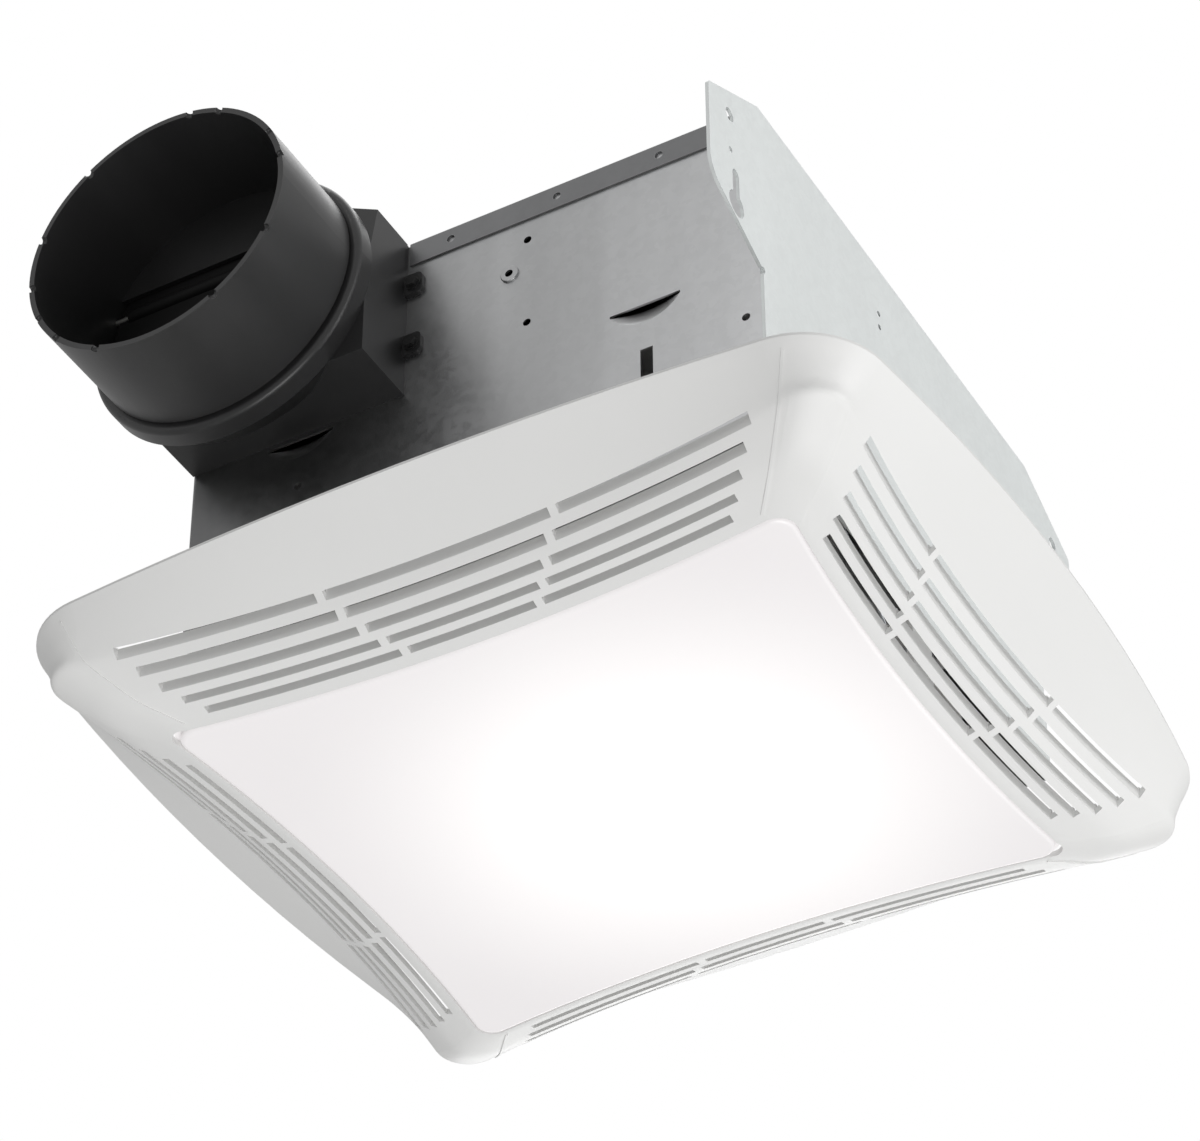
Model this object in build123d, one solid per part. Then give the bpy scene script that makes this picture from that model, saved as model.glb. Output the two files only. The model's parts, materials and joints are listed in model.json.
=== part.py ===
from build123d import *
import math
import os

# Ceiling exhaust fan with a light, seen as it hangs: +Z points up into the ceiling.
# The origin is the centre of the ceiling opening, in the plane of the ceiling.
# The duct leaves through the -Y wall and the mounting plate is the +X wall. Millimetres.

# Housing
HOUSING_X = 218.6
HOUSING_Y = 207.0
HOUSING_TOP = 143.0
HOUSING_BOTTOM = 1.0
SHEET = 0.8
BEND_RADIUS = 1.6
WELD_FLANGE = 12.0
TOP_FLANGE = 10.0
SEAT_GAP = 0.1

# Mounting plate with its two ears
PLATE_THICK = 1.2
EAR_REACH = 35.0
EAR_TIP_TOP = 19.0
EAR_TIP_BOTTOM = 60.0
EAR_ROOT_BOTTOM = 74.5
EAR_CORNER = 12.0
EAR_HOLE_REACH = 20.5
EAR_HOLE_DROP = 22.0
EAR_HOLE_RADIUS = 2.6
NAIL_HOLE_RADIUS = 1.1
NAIL_HOLE_DROP = 38.0
KEYHOLE_REACH = 17.5
KEYHOLE_DROP = 60.0
KEYHOLE_RADIUS = 5.0
KEYHOLE_SLOT = 2.2
KEYHOLE_LENGTH = 13.0

# Small features of the duct wall: x and z on the wall
WALL_HOLE_RADIUS = 1.5
WALL_HOLES = ((21.7, 124.0), (21.7, 86.2), (102.5, 51.1), (-65.9, 52.3))
DIMPLE = (15.1, 110.9)
DIMPLE_RADIUS = 3.4
DIMPLE_HEIGHT = 0.9
LOUVRES = ((66.0, 73.0), (-66.0, 72.2))
LOUVRE_WIDTH = 26.0
LOUVRE_DROP = 7.0
LOUVRE_DENT = 2.4
LOUVRE_SLIT = 1.0
WALL_SLOT = (66.4, 47.3)
WALL_SLOT_SIZE = (4.6, 14.0)
TOP_HOLES = (-8.1, 33.4, 72.5)
TOP_HOLE_DROP = 4.8

# Duct connector
COLLAR_X = -76.3
COLLAR_Z = 112.5
COLLAR_RADIUS = 50.2
COLLAR_WALL = 2.0
COLLAR_LENGTH = 41.8
RING_RADIUS = 53.4
RING_LENGTH = 8.0
RING_ROUND = 2.2
GROOVE = 0.9
BASE_LENGTH = 26.5
BASE_RIGHT = 51.0
BASE_LEFT = 32.7
BASE_BELOW = 37.7
BASE_ABOVE = 31.0
BASE_CUT_Y = 20.5
BASE_CUT_TURN = 56.0
BASE_CUT_LEAN = 8.3
FAIRING_LENGTH = 10.0
FAIRING_DROP = 8.0
LUG_WIDTH = 7.0
LUG_HEIGHT = 9.0
LUG_PLACES = (10.4, -17.2)
RIM_NOTCH = 1.6
RIM_NOTCH_ANGLES = (12, 28, 63, 78, 127, 161, 186, 205, 222, 246, 301, 334)
OPENING_MARGIN = 4.0

# Back-draught flap
FLAP_GAP = 1.4
FLAP_THICK = 1.2
FLAP_PIVOT_RISE = 14.0
FLAP_ABOVE_PIN = 8.5
FLAP_SETBACK = 3.0
FLAP_PIN_RADIUS = 1.25
FLAP_KNUCKLE_RADIUS = 2.6
RUNNING_GAP = 0.05
STOP_DEPTH = 1.6

# Blower
WHEEL_X = 10.0
WHEEL_Y = 8.0
WHEEL_RADIUS = 52.0
WHEEL_INNER = 43.5
WHEEL_HEIGHT = 56.0
WHEEL_BLADES = 36
BLADE_THICK = 0.9
BLADE_SWEEP = 22.0
WHEEL_SHEET = 1.4
WHEEL_CLEAR = 7.0
HUB_RADIUS = 8.0
HUB_LENGTH = 16.0
PLATE_Z = 71.4
PLATE_FLANGE = 10.0
PLATE_SCREW_PLACES = (-70.0, 70.0)
SCREW_HOLE_RADIUS = 1.7
INLET_RADIUS = 42.0
INLET_LIP = 5.0
SCROLL_START = 60.0
SCROLL_END = 106.0
SCROLL_START_ANGLE = -112.0

# Motor
SHAFT_RADIUS = 2.38
STACK_HEIGHT = 20.0
STACK_Z = 66.0
STACK_BACK = 18.0
STACK_FRONT = 33.0
STACK_HALF_WIDTH = 19.0
LEG_WIDTH = 9.0
ROTOR_RADIUS = 11.2
AIR_GAP = 0.5
WINDOW_HALF = 11.0
COIL_BUILD = 7.0
BOBBIN_WALL = 1.2
BEARING_RADIUS = 5.0
BRIDGE_THICK = 4.0
BRIDGE_GAP = 3.0
STATOR_SCREW_RADIUS = 1.8
BRACKET_WIDTH = 26.0
BRACKET_THICK = 1.5
BRACKET_HALF_SPAN = 53.0
BRACKET_FOOT = 12.0

# Reflector and lamp
PAN_HALF_X = 92.0
PAN_HALF_Y = 74.0
PAN_TAPER = 10.0
PAN_RIM_Z = 8.0
PAN_TOP_Z = 50.0
PAN_CORNER = 12.0
LAMP_Z = 12.0
SOCKET_RADIUS = 19.0
SOCKET_LENGTH = 34.0
SOCKET_REAR = 10.0
BULB_RADIUS = 30.0
BULB_LENGTH = 84.0
BULB_NECK = 13.6
BASE_THREAD_RADIUS = 13.0
BASE_THREAD_LENGTH = 24.0

# Wiring compartment on the +Y wall
WIRING_X = -25.0
WIRING_WIDTH = 90.0
WIRING_DEPTH = 24.0
WIRING_BOTTOM = 22.0
KNOCKOUT_RADIUS = 11.1
KNOCKOUT_Z = 46.0
RECEPTACLE = (27.0, 15.0, 17.0)
RECEPTACLE_PITCH = 42.0

# Grille, a pillow whose contours change from the lens outline to the rim outline
RIM_HALF_X = 161.7
RIM_HALF_Y = 147.0
RIM_BOW_FRONT = 1497.0
RIM_BOW_SIDE = 848.0
RIM_CORNER = 30.0
RIM_LIP = 1.0
LENS_HALF_X = 106.7
LENS_HALF_Y = 92.9
LENS_Z = -33.0
LENS_CORNER = 6.5
BOW_RADIUS = 735.0
GRILLE_WALL = 2.2
PILLOW_CURVE = ((0.0, 0.0), (2.9, 0.6), (5.8, 1.6), (11.5, 3.3), (17.0, 6.0), (22.5, 10.2), (28.0, 15.0))
FLANK_STEPS = 5
FLANK_OVERRUN = 2
PILLOW_CORNER_GROWTH = 0.2
SLOT_ROWS = 5
SLOT_FIRST = 5.8
SLOT_PITCH = 5.5
SLOT_WIDTH = 2.7
FRONT_SLOT_HALF = 96.0
SIDE_SLOT_HALF = 83.2
SLOT_GROWTH = 4.9
FRONT_BRIDGE = 24.6
SIDE_BRIDGE = 30.0
FRONT_BRIDGE_STEP = 4.5
SIDE_BRIDGE_STEP = 3.5
BRIDGE_WIDTH = 3.0
LOUVRE_BLADE = 1.2
LOUVRE_DEPTH = 3.2
CORNER_RIB_FOOT = (105.4, 103.1)
CORNER_RIB_TOP = (132.0, 138.8)
CORNER_RIB_WIDTH = 0.9
CORNER_RIB_HEIGHT = 0.45
LENS_GAP = 0.4
LENS_WALL = 2.0
LENS_SKIRT = 12.0
LENS_LEDGE = 1.6
LENS_PROUD = 0.5
LENS_REST = 0.3
LEDGE_THICK = 1.6
FINGER_NOTCH_RADIUS = 4.2
FINGER_NOTCH_SHIFT = 4.4
CLIP_HALF_X = 55.0
CLIP_LEG = 0.7
CLIP_REACH = 2.6

# Grille springs: the coil sits on the grille, the arms pass through a slotted bracket
SPRING_INSET = 7.4
SPRING_Z = -8.0
PEG_RADIUS = 3.2
COIL_RADIUS = 5.0
COIL_LENGTH = 5.2
WIRE_RADIUS = 0.9
ARM_OFFSET = 1.3
ARM_LENGTH = 106.0
ARM_ANGLE = 50.0
ARM_HOOK = 6.0
BRACKET_Z = 12.0
BRACKET_REACH = 12.6
SLOT_HALF = 38.0
SLOT_GAP = 5.0
SPRING_BRACKET_MARGIN = 6.0
SPRING_BRACKET_HEIGHT = 12.0
SPRING_BRACKET_THICK = 1.0
POST_WIDTH = 14.0
POST_THICK = 2.4

# Values that follow from the ones above
FRONT_Y = -HOUSING_Y / 2
BACK_Y = HOUSING_Y / 2
LEFT_X = -HOUSING_X / 2
RIGHT_X = HOUSING_X / 2
PLATE_INNER_X = RIGHT_X - PLATE_THICK
TOP_INNER_Z = HOUSING_TOP - SHEET
PLATE_TOP_Z = PLATE_Z + SHEET
RING_FRONT_Y = FRONT_Y - BASE_LENGTH - RING_LENGTH
MOUTH_Y = RING_FRONT_Y - COLLAR_LENGTH
BORE_RADIUS = COLLAR_RADIUS - COLLAR_WALL
FLAP_Y = RING_FRONT_Y + FLAP_SETBACK
FLAP_RADIUS = BORE_RADIUS - FLAP_GAP
WHEEL_TOP_Z = PLATE_TOP_Z + WHEEL_CLEAR + WHEEL_HEIGHT
LAMP_REAR_X = PAN_HALF_X - PAN_TAPER - SOCKET_REAR + 6.0


def block(x0, x1, y0, y1, z0, z1):
    """A box given by its lowest and highest corners."""
    return Pos((x0 + x1) / 2, (y0 + y1) / 2, (z0 + z1) / 2) * Box(x1 - x0, y1 - y0, z1 - z0)


def column(x, y, z0, z1, radius):
    """A round bar along Z."""
    return Pos(x, y, (z0 + z1) / 2) * Cylinder(radius, z1 - z0)


def bar_x(x0, x1, y, z, radius):
    """A round bar along X."""
    return Pos((x0 + x1) / 2, y, z) * Rot(0, 90, 0) * Cylinder(radius, x1 - x0)


def bar_y(x, y0, y1, z, radius):
    """A round bar along Y."""
    return Pos(x, (y0 + y1) / 2, z) * Rot(90, 0, 0) * Cylinder(radius, y1 - y0)


def hex_head(radius, height):
    """A hexagonal head standing on the XY plane."""
    return extrude(RegularPolygon(radius, 6), height)


def screw(length, radius=1.6, head_radius=3.6, head_height=1.8):
    """A hex screw: the shank runs down from the origin, the head stands on it."""
    shank = Pos(0, 0, -length / 2) * Cylinder(radius, length)
    washer = Pos(0, 0, 0.3) * Cylinder(head_radius + 0.6, 0.6)
    return shank + washer + Pos(0, 0, 0.6) * hex_head(head_radius, head_height)


def save(name, *solids):
    """Writes one named piece, or one group of like pieces, and prints its volume."""
    shape = solids[0] if len(solids) == 1 else Compound(children=list(solids))
    export_step(shape, "parts/" + name + ".step")
    print(name, round(shape.volume, 1))


def housing_wrap():
    """Duct wall, -X wall and +Y wall bent from one strip, with inward weld flanges at the plate."""
    outer = block(LEFT_X, PLATE_INNER_X, FRONT_Y, BACK_Y, HOUSING_BOTTOM, TOP_INNER_Z)
    outer = fillet(outer.edges().filter_by(Axis.Z).group_by(Axis.X)[0], BEND_RADIUS)
    inner = block(LEFT_X + SHEET, RIGHT_X, FRONT_Y + SHEET, BACK_Y - SHEET, 0, HOUSING_TOP)
    inner = fillet(inner.edges().filter_by(Axis.Z).group_by(Axis.X)[0], BEND_RADIUS - SHEET)
    wrap = outer - inner
    for side in (-1, 1):
        y_wall = side * (BACK_Y - SHEET)
        y_end = side * (BACK_Y - WELD_FLANGE)
        wrap += block(PLATE_INNER_X - SHEET, PLATE_INNER_X, min(y_wall, y_end), max(y_wall, y_end),
                      HOUSING_BOTTOM, TOP_INNER_Z)
    wrap -= duct_opening()
    wrap -= bar_y(WIRING_X, BACK_Y - 2, BACK_Y + 2, KNOCKOUT_Z, KNOCKOUT_RADIUS)
    wrap -= bar_y(ground_screw_x(), BACK_Y - 2, BACK_Y + 2, KNOCKOUT_Z + 4, SCREW_HOLE_RADIUS)
    wrap -= plate_screw_holes()
    for x, z in WALL_HOLES:
        wrap -= bar_y(x, FRONT_Y - 2, FRONT_Y + 2, z, WALL_HOLE_RADIUS)
    slot_w, slot_h = WALL_SLOT_SIZE
    wrap -= Pos(WALL_SLOT[0], FRONT_Y, WALL_SLOT[1]) * Box(slot_w, 4, slot_h)
    for x, z in LOUVRES:
        wrap = add_louvre(wrap, x, z)
    return add_dimple(wrap)


def duct_opening():
    """The hole in the duct wall that the blower discharges through."""
    return block(COLLAR_X - BASE_LEFT + OPENING_MARGIN, COLLAR_X + BASE_RIGHT - OPENING_MARGIN,
                 FRONT_Y - 2, FRONT_Y + 2,
                 COLLAR_Z - BASE_BELOW + OPENING_MARGIN, COLLAR_Z + BASE_ABOVE - OPENING_MARGIN)


def add_louvre(wall, x, z):
    """A lanced half-moon: the sheet below a slit is pressed inwards as part of a sphere."""
    half = LOUVRE_WIDTH / 2
    foot_radius = (half ** 2 + LOUVRE_DROP ** 2) / (2 * LOUVRE_DROP)
    rise = foot_radius - LOUVRE_DROP
    away = (half ** 2 - LOUVRE_DENT ** 2) / (2 * LOUVRE_DENT)
    radius = math.hypot(foot_radius, away)
    centre = Pos(x, FRONT_Y - away, z + rise)
    below_slit = block(x - half, x + half, FRONT_Y, FRONT_Y + 2 * LOUVRE_DENT, z - LOUVRE_DROP, z)
    dent = centre * Sphere(radius) & below_slit
    cup = (centre * Sphere(radius + SHEET) & below_slit) - centre * Sphere(radius)
    slit = block(x - half, x + half, FRONT_Y - 1, FRONT_Y + 1, z, z + LOUVRE_SLIT)
    return (wall - dent) + cup - slit


def add_dimple(wall):
    """A round raised boss with a small hole in it."""
    x, z = DIMPLE
    boss = bar_y(x, FRONT_Y - DIMPLE_HEIGHT, FRONT_Y + SHEET / 2, z, DIMPLE_RADIUS)
    boss = fillet(boss.edges().group_by(Axis.Y)[0], DIMPLE_HEIGHT / 2)
    wall = wall + boss
    wall -= bar_y(x, FRONT_Y, FRONT_Y + 2, z, DIMPLE_RADIUS - SHEET)
    return wall - bar_y(x, FRONT_Y - 2, FRONT_Y + 2, z, WALL_HOLE_RADIUS)


def housing_top():
    """Lid of the housing; its turned-down flanges lap the three walls of the wrap."""
    gap = SEAT_GAP / 2
    lid = block(LEFT_X - SHEET - gap, PLATE_INNER_X - gap, FRONT_Y - SHEET - gap, BACK_Y + SHEET + gap,
                HOUSING_TOP - TOP_FLANGE, HOUSING_TOP)
    lid = fillet(lid.edges().filter_by(Axis.Z).group_by(Axis.X)[0], BEND_RADIUS + SHEET)
    inner = block(LEFT_X - gap, RIGHT_X, FRONT_Y - gap, BACK_Y + gap, 0, TOP_INNER_Z)
    inner = fillet(inner.edges().filter_by(Axis.Z).group_by(Axis.X)[0], BEND_RADIUS)
    lid -= inner
    for x in TOP_HOLES:
        lid -= bar_y(x, FRONT_Y - 3, FRONT_Y + 3, HOUSING_TOP - TOP_HOLE_DROP, WALL_HOLE_RADIUS)
        lid -= bar_y(x, BACK_Y - 3, BACK_Y + 3, HOUSING_TOP - TOP_HOLE_DROP, WALL_HOLE_RADIUS)
    connector_clear = block(COLLAR_X - BASE_LEFT - 1, COLLAR_X + BASE_RIGHT + 1,
                            FRONT_Y - 3, FRONT_Y + SEAT_GAP, 0, TOP_INNER_Z + SHEET)
    return lid - connector_clear


def plate_outline():
    """Outline of the mounting plate in the YZ plane, drawn with y as x and z as y."""
    tip = BACK_Y + EAR_REACH
    points = [
        (BACK_Y, HOUSING_BOTTOM),
        (BACK_Y, HOUSING_TOP - EAR_ROOT_BOTTOM),
        (tip, HOUSING_TOP - EAR_TIP_BOTTOM + 2),
        (tip, HOUSING_TOP - EAR_TIP_TOP),
        (BACK_Y, HOUSING_TOP),
    ]
    mirrored = [(-y, z) for y, z in reversed(points)]
    face = make_face(Polyline(points + mirrored, close=True))
    low = [v for v in face.vertices() if abs(abs(v.X) - tip) < 0.1 and v.Y < HOUSING_TOP - EAR_TIP_TOP - 5]
    face = fillet(low, EAR_CORNER)
    high = [v for v in face.vertices() if abs(abs(v.X) - tip) < 0.1 and v.Y > HOUSING_TOP - EAR_TIP_TOP - 1]
    return fillet(high, 2.0)


def mounting_plate():
    """The +X wall; its ears reach past the housing to a joist on either side."""
    plate = extrude(Plane.YZ * plate_outline(), PLATE_THICK)
    plate = Pos(PLATE_INNER_X, 0, 0) * plate
    for side in (-1, 1):
        ear_y = side * (BACK_Y + EAR_HOLE_REACH)
        hole_z = HOUSING_TOP - EAR_HOLE_DROP
        plate -= bar_x(PLATE_INNER_X - 2, RIGHT_X + 2, ear_y, hole_z, EAR_HOLE_RADIUS)
        plate -= bar_x(PLATE_INNER_X - 2, RIGHT_X + 2, ear_y, HOUSING_TOP - NAIL_HOLE_DROP, NAIL_HOLE_RADIUS)
        key_y = side * (BACK_Y + KEYHOLE_REACH)
        key_z = HOUSING_TOP - KEYHOLE_DROP
        plate -= bar_x(PLATE_INNER_X - 2, RIGHT_X + 2, key_y, key_z, KEYHOLE_RADIUS)
        plate -= block(PLATE_INNER_X - 2, RIGHT_X + 2, key_y - KEYHOLE_SLOT, key_y + KEYHOLE_SLOT,
                       key_z, key_z + KEYHOLE_LENGTH)
        plate -= bar_x(PLATE_INNER_X - 2, RIGHT_X + 2, key_y, key_z + KEYHOLE_LENGTH, KEYHOLE_SLOT)
        relief = side * BACK_Y
        plate -= bar_x(PLATE_INNER_X - 2, RIGHT_X + 2, relief, HOUSING_TOP - EAR_ROOT_BOTTOM, 1.2)
    for drop in (22.4, 28.6):
        plate -= bar_x(PLATE_INNER_X - 2, RIGHT_X + 2, -16.2, HOUSING_TOP - drop, NAIL_HOLE_RADIUS)
    return plate


def spring_bracket(side):
    """An angle on the side wall with a slot for the two arms of a grille spring."""
    wall = PLATE_INNER_X if side > 0 else LEFT_X + SHEET
    inner = wall - side * BRACKET_REACH
    half = SLOT_HALF + SPRING_BRACKET_MARGIN
    leg_x = wall - side * SPRING_BRACKET_THICK
    shelf_top = BRACKET_Z + SPRING_BRACKET_THICK
    leg_top = BRACKET_Z + SPRING_BRACKET_HEIGHT
    shelf = block(min(wall, inner), max(wall, inner), -half, half, BRACKET_Z, shelf_top)
    leg = block(min(wall, leg_x), max(wall, leg_x), -half, half, BRACKET_Z, leg_top)
    x = spring_x(side)
    slot = block(x - SLOT_GAP / 2, x + SLOT_GAP / 2, -SLOT_HALF, SLOT_HALF, BRACKET_Z - 1, BRACKET_Z + 3)
    return shelf + leg - slot


def spring_x(side):
    """The plane that a grille spring works in."""
    wall = PLATE_INNER_X if side > 0 else LEFT_X + SHEET
    return wall - side * SPRING_INSET


def base_box(inset):
    """The connector's base: a box with its two upper corners beside the ring cut away."""
    x0 = COLLAR_X - BASE_LEFT + inset
    x1 = COLLAR_X + BASE_RIGHT - inset
    y0 = FRONT_Y - BASE_LENGTH + inset
    z1 = COLLAR_Z + BASE_ABOVE - inset
    box = block(x0, x1, y0, FRONT_Y, COLLAR_Z - BASE_BELOW + inset, z1)
    half_space = Box(60, 160, 160, align=(Align.MIN, Align.CENTER, Align.CENTER))
    lean = Rot(0, -BASE_CUT_LEAN, 0)
    for x, turn in ((x1, -BASE_CUT_TURN), (x0, BASE_CUT_TURN - 180)):
        box -= Pos(x, FRONT_Y - BASE_CUT_Y + inset, z1) * Rot(0, 0, turn) * lean * half_space
    return box


def ring_cone(extra, length):
    """The cone that carries the ring's overhang back towards the wall."""
    cone = Cone(RING_RADIUS + extra, RING_RADIUS + extra - FAIRING_DROP, length)
    y_ring = FRONT_Y - BASE_LENGTH
    return Pos(COLLAR_X, y_ring + length / 2, COLLAR_Z) * Rot(-90, 0, 0) * cone


def duct_connector():
    """Black collar for the round duct, moulded in one with its ring, fairing and base."""
    y_ring = FRONT_Y - BASE_LENGTH
    ring = bar_y(COLLAR_X, RING_FRONT_Y, y_ring, COLLAR_Z, RING_RADIUS)
    ring = fillet(ring.edges().filter_by(GeomType.CIRCLE).group_by(Axis.Y)[0], RING_ROUND)
    body = base_box(0) + ring_cone(0, FAIRING_LENGTH) + ring
    body += bar_y(COLLAR_X, MOUTH_Y, RING_FRONT_Y, COLLAR_Z, COLLAR_RADIUS)
    groove = bar_y(COLLAR_X, RING_FRONT_Y - GROOVE, RING_FRONT_Y, COLLAR_Z, COLLAR_RADIUS + 1)
    groove -= bar_y(COLLAR_X, RING_FRONT_Y - GROOVE, RING_FRONT_Y, COLLAR_Z, COLLAR_RADIUS - GROOVE)
    body -= groove
    body -= bar_y(COLLAR_X, MOUTH_Y - 1, y_ring, COLLAR_Z, BORE_RADIUS)
    body -= base_box(COLLAR_WALL)
    inner_cone = ring_cone(-(RING_RADIUS - BORE_RADIUS), FAIRING_LENGTH - COLLAR_WALL)
    body -= inner_cone
    clear_top = block(LEFT_X - 40, COLLAR_X + BASE_RIGHT + 2, FRONT_Y - SHEET - SEAT_GAP, FRONT_Y + 5,
                      HOUSING_TOP, HOUSING_TOP + 30)
    body -= clear_top
    for rise in LUG_PLACES:
        x0 = COLLAR_X + BASE_RIGHT - 1
        z = COLLAR_Z + rise
        half = LUG_HEIGHT / 2
        lug = block(x0, x0 + 1 + LUG_WIDTH, FRONT_Y - COLLAR_WALL, FRONT_Y, z - half, z + half)
        lug = fillet(lug.edges().filter_by(Axis.Y).group_by(Axis.X)[-1], LUG_WIDTH / 3)
        hole = bar_y(x0 + LUG_WIDTH / 2 + 1, FRONT_Y - 5, FRONT_Y + 1, z, 1.65)
        body = body + lug - hole
    body += damper_stop()
    for angle in RIM_NOTCH_ANGLES:
        a = math.radians(angle)
        centre_r = COLLAR_RADIUS - COLLAR_WALL / 2
        x = COLLAR_X + centre_r * math.cos(a)
        z = COLLAR_Z + centre_r * math.sin(a)
        body -= Pos(x, MOUTH_Y, z) * Sphere(RIM_NOTCH)
    pin_half = damper_pin_half()
    hole = bar_x(COLLAR_X - pin_half - RUNNING_GAP, COLLAR_X + pin_half + RUNNING_GAP, FLAP_Y,
                 COLLAR_Z + FLAP_PIVOT_RISE, FLAP_PIN_RADIUS)
    return body - hole


def damper_stop():
    """Half ring behind the lower part of the flap, and a fixed web before its top edge."""
    gap = FLAP_THICK / 2 + 0.3
    ring = bar_y(COLLAR_X, FLAP_Y + gap, FLAP_Y + gap + STOP_DEPTH, COLLAR_Z, BORE_RADIUS + 0.5)
    ring -= bar_y(COLLAR_X, FLAP_Y + gap, FLAP_Y + gap + STOP_DEPTH, COLLAR_Z, FLAP_RADIUS - STOP_DEPTH)
    ring &= block(-300, 300, -300, 300, COLLAR_Z - BORE_RADIUS - 2, COLLAR_Z - 4)
    web = bar_y(COLLAR_X, FLAP_Y - gap - STOP_DEPTH, FLAP_Y - gap, COLLAR_Z, BORE_RADIUS + 0.5)
    web &= block(-300, 300, -300, 300, flap_top_z() - STOP_DEPTH, COLLAR_Z + BORE_RADIUS + 2)
    return ring + web


def flap_top_z():
    """Height of the straight top edge of the flap."""
    return COLLAR_Z + FLAP_PIVOT_RISE + FLAP_ABOVE_PIN


def damper_pin_half():
    """Half the length of the flap's pin, which ends inside the collar's wall."""
    return math.sqrt((COLLAR_RADIUS - COLLAR_WALL / 3) ** 2 - FLAP_PIVOT_RISE ** 2)


def damper_pin():
    """Steel pin across the collar that the flap turns on."""
    half = damper_pin_half()
    return bar_x(COLLAR_X - half, COLLAR_X + half, FLAP_Y, COLLAR_Z + FLAP_PIVOT_RISE, FLAP_PIN_RADIUS)


def damper_flap():
    """Round flap, cut straight above its knuckle; its own weight closes it."""
    y0 = FLAP_Y - FLAP_THICK / 2
    flap = bar_y(COLLAR_X, y0, y0 + FLAP_THICK, COLLAR_Z, FLAP_RADIUS)
    flap &= block(-300, 300, -300, 300, COLLAR_Z - FLAP_RADIUS - 1, flap_top_z())
    chord = math.sqrt(FLAP_RADIUS ** 2 - FLAP_PIVOT_RISE ** 2) - 4
    z = COLLAR_Z + FLAP_PIVOT_RISE
    flap += bar_x(COLLAR_X - chord, COLLAR_X + chord, FLAP_Y, z, FLAP_KNUCKLE_RADIUS)
    rib = block(COLLAR_X - 1, COLLAR_X + 1, y0 - 1.6, y0, COLLAR_Z - FLAP_RADIUS * 0.8, z)
    flap += rib
    return flap - bar_x(COLLAR_X - 60, COLLAR_X + 60, FLAP_Y, z, FLAP_PIN_RADIUS + RUNNING_GAP)


def connector_screws():
    """The two dark screws that hold the connector's lugs to the duct wall."""
    screws = []
    for rise in LUG_PLACES:
        x = COLLAR_X + BASE_RIGHT + LUG_WIDTH / 2
        place = Pos(x, FRONT_Y - COLLAR_WALL, COLLAR_Z + rise) * Rot(90, 0, 0)
        screws.append(place * screw(COLLAR_WALL - SEAT_GAP, 1.6, 2.4, 1.6))
    return screws


def scroll_point(angle, extra):
    """A point on the scroll's spiral, at an angle in degrees about the wheel."""
    turned = (angle - SCROLL_START_ANGLE) / (180.0 - SCROLL_START_ANGLE)
    radius = SCROLL_START + (SCROLL_END - SCROLL_START) * turned + extra
    a = math.radians(angle)
    return (WHEEL_X + radius * math.cos(a), WHEEL_Y + radius * math.sin(a))


def blower_scroll():
    """The spiral wall that gathers the air and leads it to the duct."""
    steps = 14
    angles = [SCROLL_START_ANGLE + (180 - SCROLL_START_ANGLE) * i / steps for i in range(steps + 1)]
    inner = [scroll_point(a, 0) for a in angles]
    outer = [scroll_point(a, SHEET) for a in angles]
    outlet_y = FRONT_Y + SHEET + SEAT_GAP
    left = COLLAR_X - BASE_LEFT + OPENING_MARGIN
    right = COLLAR_X + BASE_RIGHT - OPENING_MARGIN
    spiral = make_face(Spline(inner) + Line(inner[-1], outer[-1]) + Spline(outer)
                       + Line(outer[0], inner[0]))
    x_a, y_a = inner[-1]
    run_out = [(x_a, y_a), (left, outlet_y), (left - SHEET, outlet_y), (x_a - SHEET, y_a)]
    x_b, y_b = inner[0]
    tongue = [(x_b, y_b), (right, outlet_y), (right + SHEET, outlet_y), (x_b + SHEET, y_b)]
    height = TOP_INNER_Z - SEAT_GAP - PLATE_TOP_Z
    strip = extrude(spiral, height)
    strip += extrude(make_face(Polyline(run_out, close=True)), height)
    strip += extrude(make_face(Polyline(tongue, close=True)), height)
    return Pos(0, 0, PLATE_TOP_Z) * strip


def blower_plate():
    """Plate between the blower and the room; the inlet is a raised lip in it."""
    gap = 2 * SEAT_GAP
    x0 = LEFT_X + SHEET + gap
    x1 = PLATE_INNER_X - SHEET - gap
    y1 = BACK_Y - SHEET - gap
    plate = block(x0, x1, -y1, y1, PLATE_Z - PLATE_FLANGE, PLATE_TOP_Z)
    plate = fillet(plate.edges().filter_by(Axis.Z).group_by(Axis.X)[0], BEND_RADIUS)
    plate -= block(x0 - 1, x1 + 1, -y1 + SHEET, y1 - SHEET, PLATE_Z - PLATE_FLANGE - 1, PLATE_Z)
    plate += column(WHEEL_X, WHEEL_Y, PLATE_Z, PLATE_TOP_Z + INLET_LIP, INLET_RADIUS + SHEET)
    plate -= column(WHEEL_X, WHEEL_Y, PLATE_Z - 1, PLATE_TOP_Z + INLET_LIP + 1, INLET_RADIUS)
    for side in (-1, 1):
        plate -= column(WHEEL_X, WHEEL_Y + side * bracket_screw_y(), PLATE_Z - 1, PLATE_TOP_Z + 1, 1.7)
    return plate - plate_screw_holes() - louvre_notches()


def louvre_notches():
    """Notches in the plate's front edge, round the two half-moons that reach through the wall."""
    half = LOUVRE_WIDTH / 2 + 2 * SHEET
    y1 = FRONT_Y + LOUVRE_DENT + 2 * SHEET
    notches = [block(x - half, x + half, FRONT_Y, y1, PLATE_Z - PLATE_FLANGE - 1, PLATE_TOP_Z + 1)
               for x, z in LOUVRES]
    return Part() + notches


def bracket_screw_y():
    """Distance from the shaft to the screws of the motor bracket."""
    return BRACKET_HALF_SPAN + BRACKET_FOOT / 2


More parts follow.
